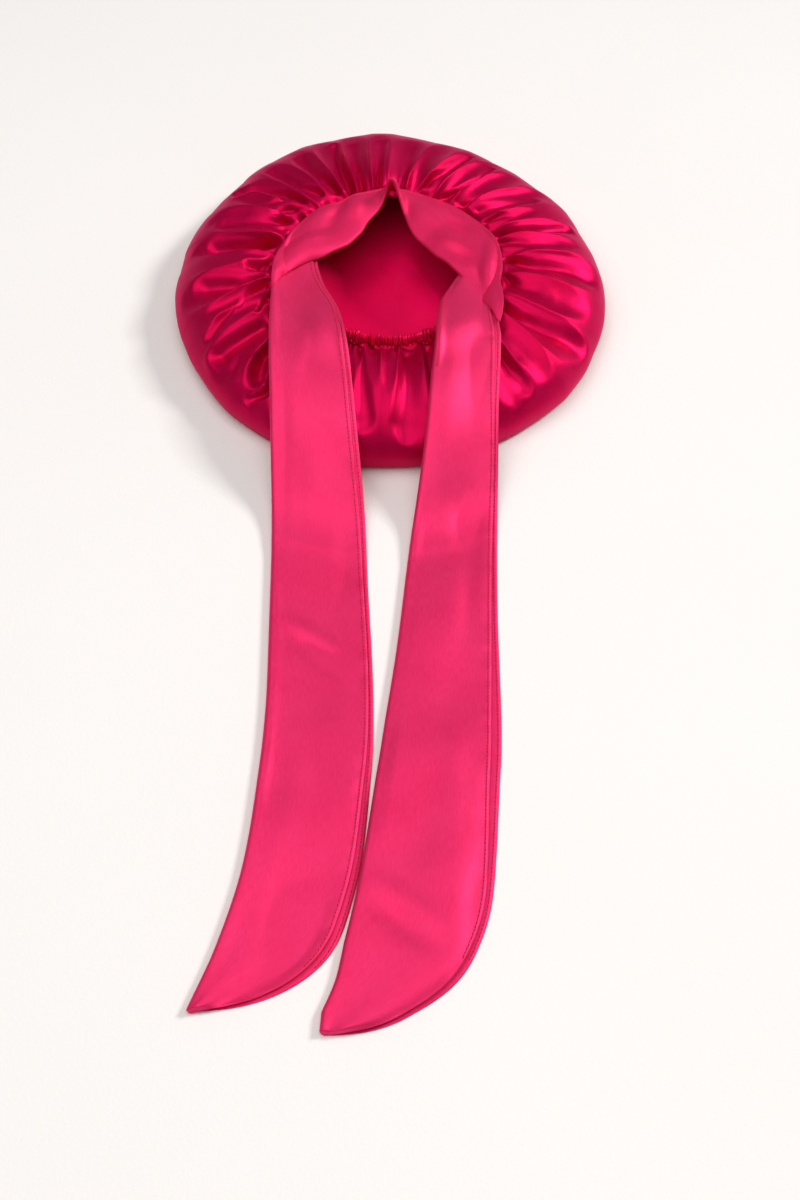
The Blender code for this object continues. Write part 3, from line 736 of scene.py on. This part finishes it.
casing = ruched.grow(
    "nape_ruches",
    path_object("casing_line", middle),
    {
        "Sections": CASING_SECTIONS,
        "Sides": CASING_SIDES,
        "Height": CASING_HEIGHT,
        "Thickness": CASING_THICK,
        "Ruches": CASING_RUCHES,
        "Depth": RUCHE_DEPTH,
    },
)
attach(casing, "root")
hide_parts("nape_elastic")


# The front band

# A wide strip of hot pink satin, folded along its middle and sewn round the front two
# thirds of the opening. It has fallen in over the opening, with its folded edge inwards,
# and is pinched up to a small peak in the middle of the forehead.

# The doubled strip: its width, the room for one layer and the cloth itself, the air at its
# hems, and how far past the crown it comes down. The casing lifts it up to a turn in degrees.
STRIP_WIDTH = 0.072
TIE_LAYER = 0.001
CLOTH = 0.7 * TIE_LAYER
HEM_SLIT = 0.0006
TIE_FALL = 0.062
CASING_TURN = 27

# Distances on the flat cloth, round both faces of the doubled strip and along the band.
RING_WALK = 0.29
BAND_LENGTH = 0.42

# The band's round belly over its width, the air between its layers, and its slack.
BAND_PUFF = 0.0035
BAND_BELLY = 0.0002
BAND_AIR, BAND_SLACK_AIR = 0.0006, 0.0010
BAND_WANDER = Swell(31, 0.0010, 16, 9)
BAND_DENT_SCALE = 1.6
BAND_STATIONS = 271
BAND_ACROSS = 30

# Angles and reaches, as shares of the opening's radius, place the sewn edge and the free
# edge; rise lifts the free edge, and over lifts the band on to a tie.
Fold = namedtuple("Fold", "sewn_angle sewn_reach free_angle free_reach rise over")
BAND = (
    Fold(66, 1.185, 66.0, 1.165, 0.00, 0.80),
    Fold(77, 1.125, 79.0, 1.020, 0.00, 1.00),
    Fold(86, 1.09, 91.7, 0.77, 0.00, 1.00),
    Fold(99, 1.05, 99.8, 0.61, 0.00, 1.00),
    Fold(115, 1.03, 120, 0.49, 0.00, 0.35),
    Fold(132, 1.02, 144, 0.53, 0.00, 0.00),
    Fold(148, 1.02, 158, 0.64, 0.02, 0.00),
    Fold(163, 1.03, 172, 0.78, 0.05, 0.00),
    Fold(173, 1.04, 177.7, 0.87, 0.16, 0.00),
    Fold(180, 1.05, 181, 0.88, 0.34, 0.00),
    Fold(187, 1.04, 185, 0.81, 0.20, 0.00),
    Fold(199, 1.02, 192, 0.67, 0.05, 0.00),
    Fold(214, 1.01, 205, 0.50, 0.01, 0.00),
    Fold(231, 1.02, 225, 0.42, 0.00, 0.00),
    Fold(250, 1.04, 257, 0.44, 0.00, 0.50),
    Fold(266, 1.05, 276, 0.575, 0.00, 1.00),
    Fold(277, 1.06, 285.5, 0.70, 0.00, 1.00),
    Fold(288, 1.08, 296, 0.86, 0.00, 1.00),
    Fold(298, 1.18, 303, 1.07, 0.00, 1.00),
    Fold(311.6, 1.345, 311.3, 1.305, 0.00, 1.00),
)


def casing_lift(angle, radius):
    """How much the casing lifts a strip that lies over its ends."""
    turn = np.abs((angle + 180) % 360 - 180)
    near = 1 - smoothstep(1.2 * CASING_TURN, 2 * CASING_TURN, turn)
    off = np.abs(radius - rim_radius(angle))
    beside = 1 - smoothstep(CASING_THICK, CASING_THICK + CASING_HEIGHT * 2, off)
    return (CASING_HEIGHT + SEAT_GAP) * near * beside


def support(x, y, bare=False):
    """Height of what a strip lies on: crests, the lidded opening, the slope, the table. bare
    leaves out the casing."""
    radius = np.hypot(x, y - OPENING_SHIFT)
    angle = np.degrees(np.arctan2(-x, OPENING_SHIFT - y))
    rim, outer = rim_radius(angle), outline_radius(angle)
    across = np.maximum((radius - rim) / (outer - rim), 0.0)
    leave = TOP_SECTIONS[5].across
    share = smooth_curve(TOP_SECTIONS, np.minimum(across, leave))
    dip = NAPE_DROP * nape_share(angle) * (1 - np.minimum(across, 1.0)) ** 2
    height = share * PUFF_HEIGHT - dip + (0 if bare else casing_lift(angle, radius))
    past = radius - (rim + (outer - rim) * leave)
    fall = (1 - leave) * (outer - rim) + TIE_FALL
    return height * (0.5 + 0.5 * np.cos(np.pi * np.clip(past / fall, 0, 1)))


def round_place(angle, radius):
    """A flat point at an angle round the opening's centre."""
    turn = np.radians(angle)
    return np.stack(
        [-radius * np.sin(turn), OPENING_SHIFT - radius * np.cos(turn), 0 * turn], -1
    )


def dents(table, x, y):
    """Height of soft dents and swells. Each row is a place, a length and a width, all in
    millimetres, how far it is turned from +Y towards +X, and its height."""
    height = np.zeros(np.shape(x))
    for dent in table:
        dx, dy = x * 1000 - dent.x, y * 1000 - dent.y
        c, s = math.cos(math.radians(dent.turn)), math.sin(math.radians(dent.turn))
        along, across = dx * s + dy * c, dx * c - dy * s
        spread = np.abs(along / dent.length) ** 2.5 + (across / dent.width) ** 2
        height += dent.height / 1000 * np.exp(-spread)
    return height


def grid_normals(grid):
    """Normals of a grid of points, all turned upwards."""
    normals = np.cross(np.gradient(grid, axis=1), np.gradient(grid, axis=0))
    normals /= np.linalg.norm(normals, axis=-1, keepdims=True) + 1e-12
    return np.where(normals[..., 2:] < 0, -normals, normals)


def folded_strip(lower, upper, layer):
    """One ring of points for each station, round a strip folded along one edge: over its
    upper layer from the hem to the fold, round the fold, under the lower layer to its hem,
    and back inside. lower and upper are the outer faces of the two layers, from the fold
    to the hems, and layer is the cloth's thickness."""
    up, down = grid_normals(upper), grid_normals(lower)
    centre = (upper[:, :1] + lower[:, :1]) / 2
    span = upper[:, :1] - lower[:, :1]
    radius = np.linalg.norm(span, axis=-1, keepdims=True) / 2
    raised = span / (2 * radius + 1e-12)
    outwards = lower[:, :1] - lower[:, 1:2]
    outwards -= raised * (outwards * raised).sum(-1, keepdims=True)
    outwards /= np.linalg.norm(outwards, axis=-1, keepdims=True) + 1e-12
    turns = np.radians([150, 120, 90, 60, 30])[None, :, None]

    def bend(r):
        return centre - raised * r * np.cos(turns) + outwards * r * np.sin(turns)

    inner_radius = np.maximum(radius - layer, 0.12 * radius)
    outer = np.concatenate([upper[:, ::-1], bend(radius), lower], 1)
    inner = np.concatenate(
        [(lower + down * layer)[:, ::-1], bend(inner_radius)[:, ::-1], upper - up * layer], 1
    )
    return np.concatenate([outer, inner], 1)


def ring_mesh(name, rings, across, along):
    """A closed mesh round a row of rings, with flat ends."""
    count = rings.shape[1]
    piece = cloth_mesh(name, rings, across, along, closed=True)
    mesh = piece.data
    old = np.zeros(len(mesh.vertices) * 3)
    mesh.vertices.foreach_get("co", old)
    faces = [tuple(p.vertices) for p in mesh.polygons]
    uv = np.zeros(len(mesh.loops) * 2)
    mesh.uv_layers[0].data.foreach_get("uv", uv)
    last = (len(rings) - 1) * count
    ends, places = [], []
    for k in range(count // 2 - 1):
        quad = (count - 1 - k, count - 2 - k, k + 1, k)
        ends.append(quad)
        places += [(across[c], along[0]) for c in quad]
        quad = tuple(last + c for c in reversed(quad))
        ends.append(quad)
        places += [(across[c - last], along[-1]) for c in quad]
    mesh.clear_geometry()
    mesh.from_pydata(old.reshape(-1, 3).tolist(), [], faces + ends)
    layer = mesh.uv_layers.new(name="cloth")
    layer.data.foreach_set("uv", np.concatenate([uv, np.ravel(places)]).astype(np.float32))
    mesh.update()
    mesh.shade_smooth()
    return piece


Dent = namedtuple("Dent", "x y length width turn height")
BAND_DENTS = (
    Dent(-44, 54, 16, 6, 20, -2.2),
    Dent(-59, 48, 16, 6, 35, 1.6),
    Dent(-29, 60, 14, 6, 10, 1.6),
    Dent(-52, 30, 14, 6, 40, -1.6),
    Dent(-80, 12, 16, 6, 60, -2.0),
    Dent(-64, 16, 14, 6, 60, 1.6),
    Dent(14, 52, 12, 5, 340, -1.8),
    Dent(32, 46, 16, 7, 320, 1.6),
    Dent(56, 36, 16, 7, 315, -2.4),
    Dent(50, 12, 14, 6, 310, 1.4),
    Dent(58, -4, 12, 6, 320, -2.2),
    Dent(80, -14, 30, 5, 5, 2.2),
    Dent(72, -30, 20, 5, 345, -1.8),
)

number = np.linspace(0, len(BAND) - 1, BAND_STATIONS)[:, None]
share = np.linspace(0, 1, BAND_ACROSS)[None]
rows = np.arange(len(BAND))
sewn_angle, sewn_reach, free_angle, free_reach, rise, over = (
    smooth_curve(list(zip(rows, values)), number) for values in zip(*BAND)
)
sewn = round_place(sewn_angle, rim_radius(sewn_angle) * sewn_reach)
free = round_place(free_angle, rim_radius(free_angle) * free_reach)
band = sewn + (free - sewn) * share[..., None]
width = np.linalg.norm(free - sewn, axis=-1)
narrow = np.minimum(width / (STRIP_WIDTH / 2), 1.0)
lift = SEAT_GAP + np.clip(over, 0, 1) * (2 * TIE_LAYER + HEM_SLIT + 2 * SEAT_GAP)
puff = BAND_PUFF * narrow * 4 * share * (1 - share)
band[..., 2] = support(band[..., 0], band[..., 1]) + lift + puff
band[..., 2] += STRIP_WIDTH * rise * share**1.5
wander = swelling(BAND_WANDER, (BAND_STATIONS, 2 * BAND_ACROSS))[:, :BAND_ACROSS]
dented = BAND_DENT_SCALE * dents(BAND_DENTS, band[..., 0], band[..., 1])
band[..., 2] += narrow * (wander * smoothstep(0, 0.3, share) + dented)
air = BAND_AIR + BAND_SLACK_AIR * smoothstep(0.3, 1.0, share) * narrow
lower = band[:, ::-1] - grid_normals(band)[:, ::-1] * BAND_BELLY
air = (2 * TIE_LAYER + air) * (0.15 + 0.85 * smoothstep(0, 0.35, narrow))
upper = band[:, ::-1] + grid_normals(band)[:, ::-1] * air[:, ::-1, None]
rings = folded_strip(lower, upper, CLOTH)
around = np.linspace(0, RING_WALK, rings.shape[1] + 1)
front_band = ring_mesh(
    "front_band_satin", rings, around, np.linspace(0, BAND_LENGTH, BAND_STATIONS)
)
band_finish = satin_finish(
    "pink_band_satin",
    deep=(0.76, 0.014, 0.100, 1),
    pale_tone_and_sheen=(0.94, 0.045, 0.19, 1),
    bloom=(1.0, 0.4, 0.65, 1),
    roughness=0.44,
    gleam=0.42,
)
front_band.data.materials.append(band_finish)
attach(front_band, "root")
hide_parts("front_band")


# The two ties

# The strip's two free ends, each doubled lengthwise with its fold on the left and its two
# narrow hems on the right, and cut with a rounded end. They come down over the crown's near
# side and lie flat and slack on the table, side by side.

# Each tie's reach, where it starts behind the opening's centre, and its rounded end.
LEFT_REACH, RIGHT_REACH = 0.611, 0.609
LEFT_START, RIGHT_START = 0.002, -0.014
LEFT_ROUND, RIGHT_ROUND = 0.060, 0.100

# The air inside the fold and how far across it reaches, how far the upper hem stands back
# from the lower one and how wide a hem is, and how square and how wide the tip ends.
FOLD_SLIT = 0.0035
ROLL_SHARE = 0.6
HEM_STEP = 0.0042
HEM_WIDTH = 0.006
TIP_SQUARENESS = 2.4
TIP_WIDTH = 0.05
TIE_STATIONS = 300
ROUND_STATIONS = 40
TIE_ACROSS = 32

# What a tie lies on is smoothed along it, over runs in stations, and clears the crests.
GROUND_RUN = 12
LIFT_RUN = 5
LIFT_PAD = 18
CREST_CLEARANCE = 0.0015

# Random swells of a tie: its hem's line, the step between its hems as a share, two kinds of
# slack, and the puckers of its stitches. Each seed is added to the tie's own.
HEM_WANDER = Swell(0, 0.0003, 14, 400)
STEP_WANDER = Swell(1, 0.25, 30, 400)
TIE_SLACK = Swell(2, 0.0015, 17, 8)
TIE_CRUMPLE = Swell(3, 0.0003, 7, 5)
HEM_PUCKER = Swell(4, 0.0002, 1.6, 400)
SLACK_AIR = 0.0008
LEAST_AIR = 0.0002

# Each tie from the band to its tip: along, a share of its reach; inner, where its inner
# edge lies, a share of the opening's width; width and slant, shares of the strip's width.
# The left tie's inner edge is its hems. The right tie's is its fold, measured from the left
# tie's inner edge. Slant is how much further back the hems lie than the fold.
Lay = namedtuple("Lay", "along inner width slant")
TIE_LEFT = (
    Lay(0.00, -0.352, 0.44, 0.32),
    Lay(0.04, -0.331, 0.50, 0.20),
    Lay(0.12, -0.222, 0.74, 0.05),
    Lay(0.25, -0.151, 0.85, 0.00),
    Lay(0.37, -0.109, 0.92, 0.00),
    Lay(0.55, -0.075, 0.97, 0.00),
    Lay(0.64, -0.063, 0.99, 0.00),
    Lay(0.72, -0.067, 1.01, 0.00),
    Lay(0.84, -0.105, 1.02, 0.00),
    Lay(0.93, -0.184, 1.02, 0.00),
    Lay(1.00, -0.276, 1.02, 0.02),
)
TIE_RIGHT = (
    Lay(0.00, 0.674, 0.42, -0.54),
    Lay(0.07, 0.490, 0.62, -0.32),
    Lay(0.14, 0.408, 0.67, -0.06),
    Lay(0.25, 0.318, 0.72, 0.00),
    Lay(0.37, 0.218, 0.84, 0.00),
    Lay(0.52, 0.134, 0.95, 0.00),
    Lay(0.66, 0.056, 1.09, 0.00),
    Lay(0.80, 0.023, 1.17, 0.00),
    Lay(0.90, 0.038, 1.22, 0.00),
    Lay(0.95, 0.062, 1.24, 0.00),
    Lay(1.00, 0.054, 1.25, 0.00),
)

LEFT_DENTS = (
    Dent(-58, -125, 22, 9, 15, -2.0),
    Dent(-44, -150, 16, 7, 10, -1.6),
    Dent(-68, -140, 45, 9, 5, 1.6),
    Dent(-76, -240, 45, 8, 0, 1.0),
    Dent(-52, -270, 45, 8, 0, -0.8),
    Dent(-51, -352, 28, 7, 125, -1.6),
    Dent(-51, -340, 28, 7, 125, 1.2),
    Dent(-62, -450, 60, 9, 0, 0.8),
    Dent(-70, -540, 40, 8, 10, -1.4),
)
RIGHT_DENTS = (
    Dent(46, -120, 45, 9, 0, 0.9),
    Dent(66, -130, 40, 7, 5, -1.6),
    Dent(44, -250, 60, 10, 0, 1.0),
    Dent(60, -290, 50, 8, 5, -1.4),
    Dent(40, -470, 55, 12, 5, 1.6),
    Dent(11, -560, 28, 8, 128, -1.8),
    Dent(14, -546, 26, 7, 128, 1.2),
    Dent(56, -543, 26, 8, 10, -1.8),
)


def soften(heights, run):
    """Heights smoothed along a tie, over a run counted in stations."""
    steps = np.arange(-2 * run, 2 * run + 1)
    shares = np.exp(-0.5 * (steps / run) ** 2)
    ends = ((2 * run, 2 * run), (0, 0))
    padded = np.pad(heights, ends, mode="reflect", reflect_type="odd")
    shares /= shares.sum()
    return sum(s * padded[k : k + len(heights)] for k, s in enumerate(shares))


def left_inner_edge(y):
    """Where the left tie's hems lie, from which both ties are placed."""
    along = (OPENING_SHIFT + LEFT_START - y) / LEFT_REACH
    return OPENING_WIDTH * smooth_curve([(r.along, r.inner) for r in TIE_LEFT], along)


def lay_tie(name, rows, start, reach, rounded, table, seed):
    """A folded tie, and its lower and upper faces with the upper one's normals, on which its
    stitches lie."""
    corner = 1 - rounded / reach
    straight = np.linspace(0, corner, TIE_STATIONS - ROUND_STATIONS, endpoint=False)
    bent = corner + (1 - corner) * np.sin(np.pi / 2 * np.linspace(0, 1, ROUND_STATIONS))
    along = np.concatenate([straight, bent])
    y = OPENING_SHIFT + start - along * reach
    full = STRIP_WIDTH * smooth_curve([(r.along, r.width) for r in rows], along)
    slant = STRIP_WIDTH * smooth_curve([(r.along, r.slant) for r in rows], along)
    fold = left_inner_edge(y)
    if rows is TIE_LEFT:
        fold = fold - full
    else:
        fold = fold + OPENING_WIDTH * smooth_curve([(r.along, r.inner) for r in rows], along)
    past = np.maximum(along - corner, 0) / (1 - corner)
    left = np.maximum((1 - past**TIP_SQUARENESS) ** (1 / TIP_SQUARENESS), TIP_WIDTH)
    shape = (TIE_STATIONS, 2 * TIE_ACROSS)
    wavy = swelling(HEM_WANDER, shape, seed)[:, 0]
    width = full * left
    edge = np.stack([fold, y, 0 * y], -1)[:, None]
    way = np.stack([width, slant, 0 * y], -1)[:, None]

    def layer_face(stop):
        u = np.linspace(0, 1, TIE_ACROSS)[None] ** 0.85
        return edge + way * (u * stop[:, None])[..., None], u * stop[:, None]

    step = HEM_STEP * (1 + swelling(STEP_WANDER, shape, seed)[:, 0])
    step = np.minimum(step, width / 5)
    wavy = wavy / np.maximum(width, 0.01)
    lower, _ = layer_face(1 + wavy)
    upper, upper_share = layer_face(1 - step / width + wavy)
    size = np.minimum(1.0, width / 0.02)[:, None]
    for face in (lower, upper):
        ground = support(face[..., 0], face[..., 1], bare=True)
        lift = support(face[..., 0], face[..., 1]) - ground
        lift = np.pad(lift, ((LIFT_PAD, LIFT_PAD), (0, 0)), mode="edge")
        near = range(-LIFT_RUN, LIFT_RUN + 1)
        lift = soften(np.max([np.roll(lift, k, 0) for k in near], axis=0), LIFT_RUN)
        ground = soften(ground, GROUND_RUN) + lift[LIFT_PAD:-LIFT_PAD]
        ground += CREST_CLEARANCE * smoothstep(0.0, 0.02, ground)
        face[..., 2] = ground + SEAT_GAP * smoothstep(0.0, SEAT_GAP, ground)
    air = HEM_SLIT + (FOLD_SLIT - HEM_SLIT) * (1 - smoothstep(0.0, ROLL_SHARE, upper_share))
    air *= smoothstep(0.0, 0.2, along)[:, None] * 0.8 + 0.2
    slack = swelling(TIE_SLACK, shape, seed)[:, :TIE_ACROSS]
    slack += swelling(TIE_CRUMPLE, shape, seed)[:, :TIE_ACROSS]
    slack += dents(table, upper[..., 0], upper[..., 1])
    pucker = swelling(HEM_PUCKER, shape, seed)[:, :1]
    hem = np.exp(-(((1 - upper_share) * width[:, None] - step[:, None]) / HEM_WIDTH) ** 2)
    free = smoothstep(0.0, 0.12, upper_share) * (1 - 0.6 * hem)
    up = grid_normals(upper)
    room = np.maximum(air * size + (slack * free + SLACK_AIR) * size, LEAST_AIR)
    thickness = 2 * TIE_LAYER * size + room
    thickness += pucker * hem * size
    upper = upper + up * thickness[..., None]
    rings = folded_strip(lower, upper, CLOTH)
    across = np.linspace(0, RING_WALK, rings.shape[1] + 1)
    tie = ring_mesh(name, rings, across, along * reach)
    return tie, lower, upper, up


tie_finish = satin_finish(
    "pink_tie_satin",
    deep=(0.78, 0.020, 0.115, 1),
    pale_tone_and_sheen=(0.95, 0.060, 0.22, 1),
    bloom=(1.0, 0.4, 0.65, 1),
    roughness=0.42,
    gleam=0.45,
)
seams = []
for node, rows, start, reach, rounded, table, seed in (
    ("tie_left", TIE_LEFT, LEFT_START, LEFT_REACH, LEFT_ROUND, LEFT_DENTS, 41),
    ("tie_right", TIE_RIGHT, RIGHT_START, RIGHT_REACH, RIGHT_ROUND, RIGHT_DENTS, 51),
):
    tie, lower, upper, up = lay_tie(node + "_satin", rows, start, reach, rounded, table, seed)
    tie.data.materials.append(tie_finish)
    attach(tie, "root")
    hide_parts(node)
    node + "_satin"
    seams.append((node, lower, upper, up))


# The stitches

# One row of fine pink thread close to each tie's two narrow hems, over a row of dark beads
# that paints the shade of the crease it presses into the satin, and short overlocked threads
# over the cut edges at the ties' upper ends, beside the opening.

HEM_INSET = 0.0024
THREAD_STAND = 0.0003
OVERLOCK_STAND = 0.0002
UNSEWN_START, UNSEWN_END = 6, 26
OVERLOCK_RUNS = {"tie_left": (-0.088, -0.040), "tie_right": (-0.128, -0.036)}
RIGHT_EDGE_SHIFT = (0.0008, 0, 0.0002)

# One thread from the next, a thread's length and width, and its turn in degrees. A crease's
# shade is a row of long dark beads that run into one another: painted shade, not thread.
Seam = namedtuple("Seam", "pitch length width turn")
HEM_SEAM = Seam(0.0027, 0.0019, 0.00055, 0.0)
HEM_CREASE_SHADE = Seam(0.0040, 0.0056, 0.00105, 0.0)
OVERLOCK = Seam(0.0015, 0.0034, 0.00062, 62.0)
THREAD_SWAY = 0.12


def spun_finish(name, dark, light):
    """Matt thread, or the dark painted shade of a crease, with a fine fibre in its colour and
    relief.
    """
    finish = bpy.data.materials.new(name)
    finish.use_nodes = True
    shader = finish.node_tree.nodes["Principled BSDF"]
    start = Thread(finish.node_tree)
    place = start.node("ShaderNodeTexCoord", {}, {}, "Object")
    fibre = start.node("ShaderNodeTexNoise", {}, {"Vector": place, "Scale": 900.0, "Detail": 2.0})
    tone = start.node("ShaderNodeMix", {"data_type": "RGBA"}, {0: fibre, 6: dark, 7: light}, 2)
    bump = start.node("ShaderNodeBump", {}, {"Strength": 0.4, "Distance": 0.0001, "Height": fibre})
    finish.node_tree.links.new(tone.socket, shader.inputs["Base Color"])
    finish.node_tree.links.new(bump.socket, shader.inputs["Normal"])
    shader.inputs["Roughness"].default_value = 0.6
    shader.inputs["Specular IOR Level"].default_value = 0.2
    return finish


thread_finish = spun_finish("pink_thread", (0.62, 0.012, 0.08, 1), (0.95, 0.05, 0.17, 1))
# Painted shade: the dark colour of the beads that lie along each hem's crease.
crease_shade_finish = spun_finish("painted_crease_shade", (0.30, 0.003, 0.028, 1), (0.42, 0.006, 0.045, 1))

sewn = Pattern(
    "rows_of_thread",
    {
        "Pitch": "NodeSocketFloat",
        "Length": "NodeSocketFloat",
        "Width": "NodeSocketFloat",
        "Turn": "NodeSocketFloat",
        "Seed": "NodeSocketInt",
        "Finish": "NodeSocketMaterial",
    },
)
line = sewn.node("GeometryNodeMeshToCurve", {}, {0: sewn.inputs.outputs[0]})
line = sewn.node(
    "GeometryNodeResampleCurve", {"mode": "LENGTH"}, {"Curve": line, "Length": sewn.size("Pitch")}
)
bead = sewn.node("GeometryNodeMeshUVSphere", {}, {"Segments": 8, "Rings": 5, "Radius": 0.5})
sizes = sewn.node(
    "ShaderNodeCombineXYZ",
    {},
    {0: sewn.size("Length"), 1: sewn.size("Width"), 2: sewn.size("Width")},
)
bead = sewn.node("GeometryNodeTransform", {}, {"Geometry": bead, "Scale": sizes})
tangent = sewn.node("GeometryNodeInputTangent", {}, {})
heading = sewn.node("FunctionNodeAlignRotationToVector", {"axis": "X"}, {"Vector": tangent})
sway = sewn.node(
    "FunctionNodeRandomValue",
    {"data_type": "FLOAT"},
    {2: -THREAD_SWAY, 3: THREAD_SWAY, "Seed": sewn.size("Seed")},
    1,
)
lean = sewn.maths("ADD", sewn.size("Turn"), sway)
lean = sewn.node("ShaderNodeCombineXYZ", {}, {2: lean})
lean = sewn.node("FunctionNodeEulerToRotation", {}, {0: lean})
heading = sewn.node(
    "FunctionNodeRotateRotation", {"rotation_space": "LOCAL"}, {0: heading, 1: lean}
)
threads = sewn.node(
    "GeometryNodeInstanceOnPoints", {}, {"Points": line, "Instance": bead, "Rotation": heading}
)
sewn.close(threads, sewn.size("Finish"))


def inset(face, normals, run, lift):
    """A line beside a layer's hem, run metres in from it and lift above its face."""
    way = face[:, -3] - face[:, -1]
    way = way / (np.linalg.norm(way, axis=-1, keepdims=True) + 1e-9)
    return face[:, -1] + way * run + normals[:, -1] * lift


for node, lower, upper, up in seams:
    keep = slice(UNSEWN_START, TIE_STATIONS - UNSEWN_END)
    down = grid_normals(lower)
    lines = {
        "upper_hem": (inset(upper, up, HEM_INSET, THREAD_STAND), HEM_SEAM),
        # The crease rows are painted shade: dark beads sunk just under the cloth beside each hem.
        "upper_crease_shade": (inset(upper, up, HEM_INSET, -THREAD_STAND), HEM_CREASE_SHADE),
        "lower_hem": (inset(lower, down, HEM_INSET, CLOTH + THREAD_STAND), HEM_SEAM),
        "lower_crease_shade": (inset(lower, down, HEM_INSET, CLOTH - THREAD_STAND), HEM_CREASE_SHADE),
    }
    lines = {part: (points[keep], seam) for part, (points, seam) in lines.items()}
    edge = upper[:, -1] if node == "tie_left" else upper[:, 0] + RIGHT_EDGE_SHIFT
    low, high = OVERLOCK_RUNS[node]
    near = (edge[:, 1] > low) & (edge[:, 1] < high)
    lines["overlock"] = (edge[near] + up[near, -1] * OVERLOCK_STAND, OVERLOCK)
    for count, (part, (points, seam)) in enumerate(lines.items()):
        stitches = sewn.grow(
            f"{node}_{part}",
            path_object("seam_line", points),
            {
                "Pitch": seam.pitch,
                "Length": seam.length,
                "Width": seam.width,
                "Turn": math.radians(seam.turn),
                "Seed": count + 3,
                "Finish": crease_shade_finish if seam is HEM_CREASE_SHADE else thread_finish,
            },
        )
        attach(stitches, "root")


# The table, the light and the camera

# A plain pale table top with a faint grain, a broad soft light from the upper right and
# the room's own light, seen from above the ends of the ties.

TABLE_SIZE = 8
TABLE_DROP = 0.0004
WARM_WHITE = (1.0, 0.985, 0.97)
WINDOW_WHITE = (1.0, 0.99, 0.97)
ROOM_WHITE = (1.0, 0.985, 0.975, 1)
ROOM_STRENGTH = 0.19
CAMERA_PLACE = (0.008, -0.9695, 0.949)
CAMERA_TILT = 35
FOCAL_LENGTH, SENSOR_WIDTH = 47.73, 36.0

bpy.ops.mesh.primitive_plane_add(size=TABLE_SIZE)
table = bpy.context.object
table.name = "table"
table.location = (0, 0, -TABLE_DROP)
stone = bpy.data.materials.new("pale_table")
stone.use_nodes = True
shader = stone.node_tree.nodes["Principled BSDF"]
start = Thread(stone.node_tree)
place = start.node("ShaderNodeTexCoord", {}, {}, "Object")
grain = start.node("ShaderNodeTexNoise", {}, {"Vector": place, "Scale": 420.0, "Detail": 4.0})
cloud = start.node("ShaderNodeTexNoise", {}, {"Vector": place, "Scale": 3.0, "Detail": 2.0})
tone = start.node(
    "ShaderNodeMix",
    {"data_type": "RGBA"},
    {0: cloud, 6: (0.91, 0.885, 0.87, 1), 7: (0.95, 0.93, 0.92, 1)},
    2,
)
bump = start.node("ShaderNodeBump", {}, {"Strength": 0.3, "Distance": 0.0006, "Height": grain})
stone.node_tree.links.new(tone.socket, shader.inputs["Base Color"])
stone.node_tree.links.new(bump.socket, shader.inputs["Normal"])
shader.inputs["Roughness"].default_value = 0.65
table.data.materials.append(stone)


def soft_light(name, place, aim, size, power, colour):
    """A square of soft light that points from its place to its aim."""
    light = bpy.data.lights.new(name, "AREA")
    light.shape = "SQUARE"
    light.size = size
    light.energy = power
    light.color = colour
    lamp = bpy.data.objects.new(name, light)
    bpy.context.scene.collection.objects.link(lamp)
    lamp.location = place
    way = np.array(aim) - np.array(place)
    lamp.rotation_euler = (
        math.acos(-way[2] / np.linalg.norm(way)),
        0.0,
        math.atan2(-way[0], way[1]),
    )


soft_light("window", (4.6, 1.5, 3.8), (0.0, -0.1, 0.0), 1.3, 224.0, WINDOW_WHITE)
soft_light("ceiling", (-0.4, -0.6, 2.6), (0.0, -0.15, 0.0), 3.0, 54.0, WARM_WHITE)
world = bpy.data.worlds.new("room")
world.use_nodes = True
room_light = world.node_tree.nodes["Background"]
room_light.inputs["Color"].default_value = ROOM_WHITE
room_light.inputs["Strength"].default_value = ROOM_STRENGTH
bpy.context.scene.world = world
bpy.context.scene.view_settings.view_transform = "Standard"

lens = bpy.data.cameras.new("camera")
lens.lens = FOCAL_LENGTH
lens.sensor_width = SENSOR_WIDTH
lens.dof.use_dof = False
camera = bpy.data.objects.new("camera", lens)
camera.location = CAMERA_PLACE
camera.rotation_euler = (math.radians(CAMERA_TILT), 0, 0)
bpy.context.scene.collection.objects.link(camera)
bpy.context.scene.camera = camera
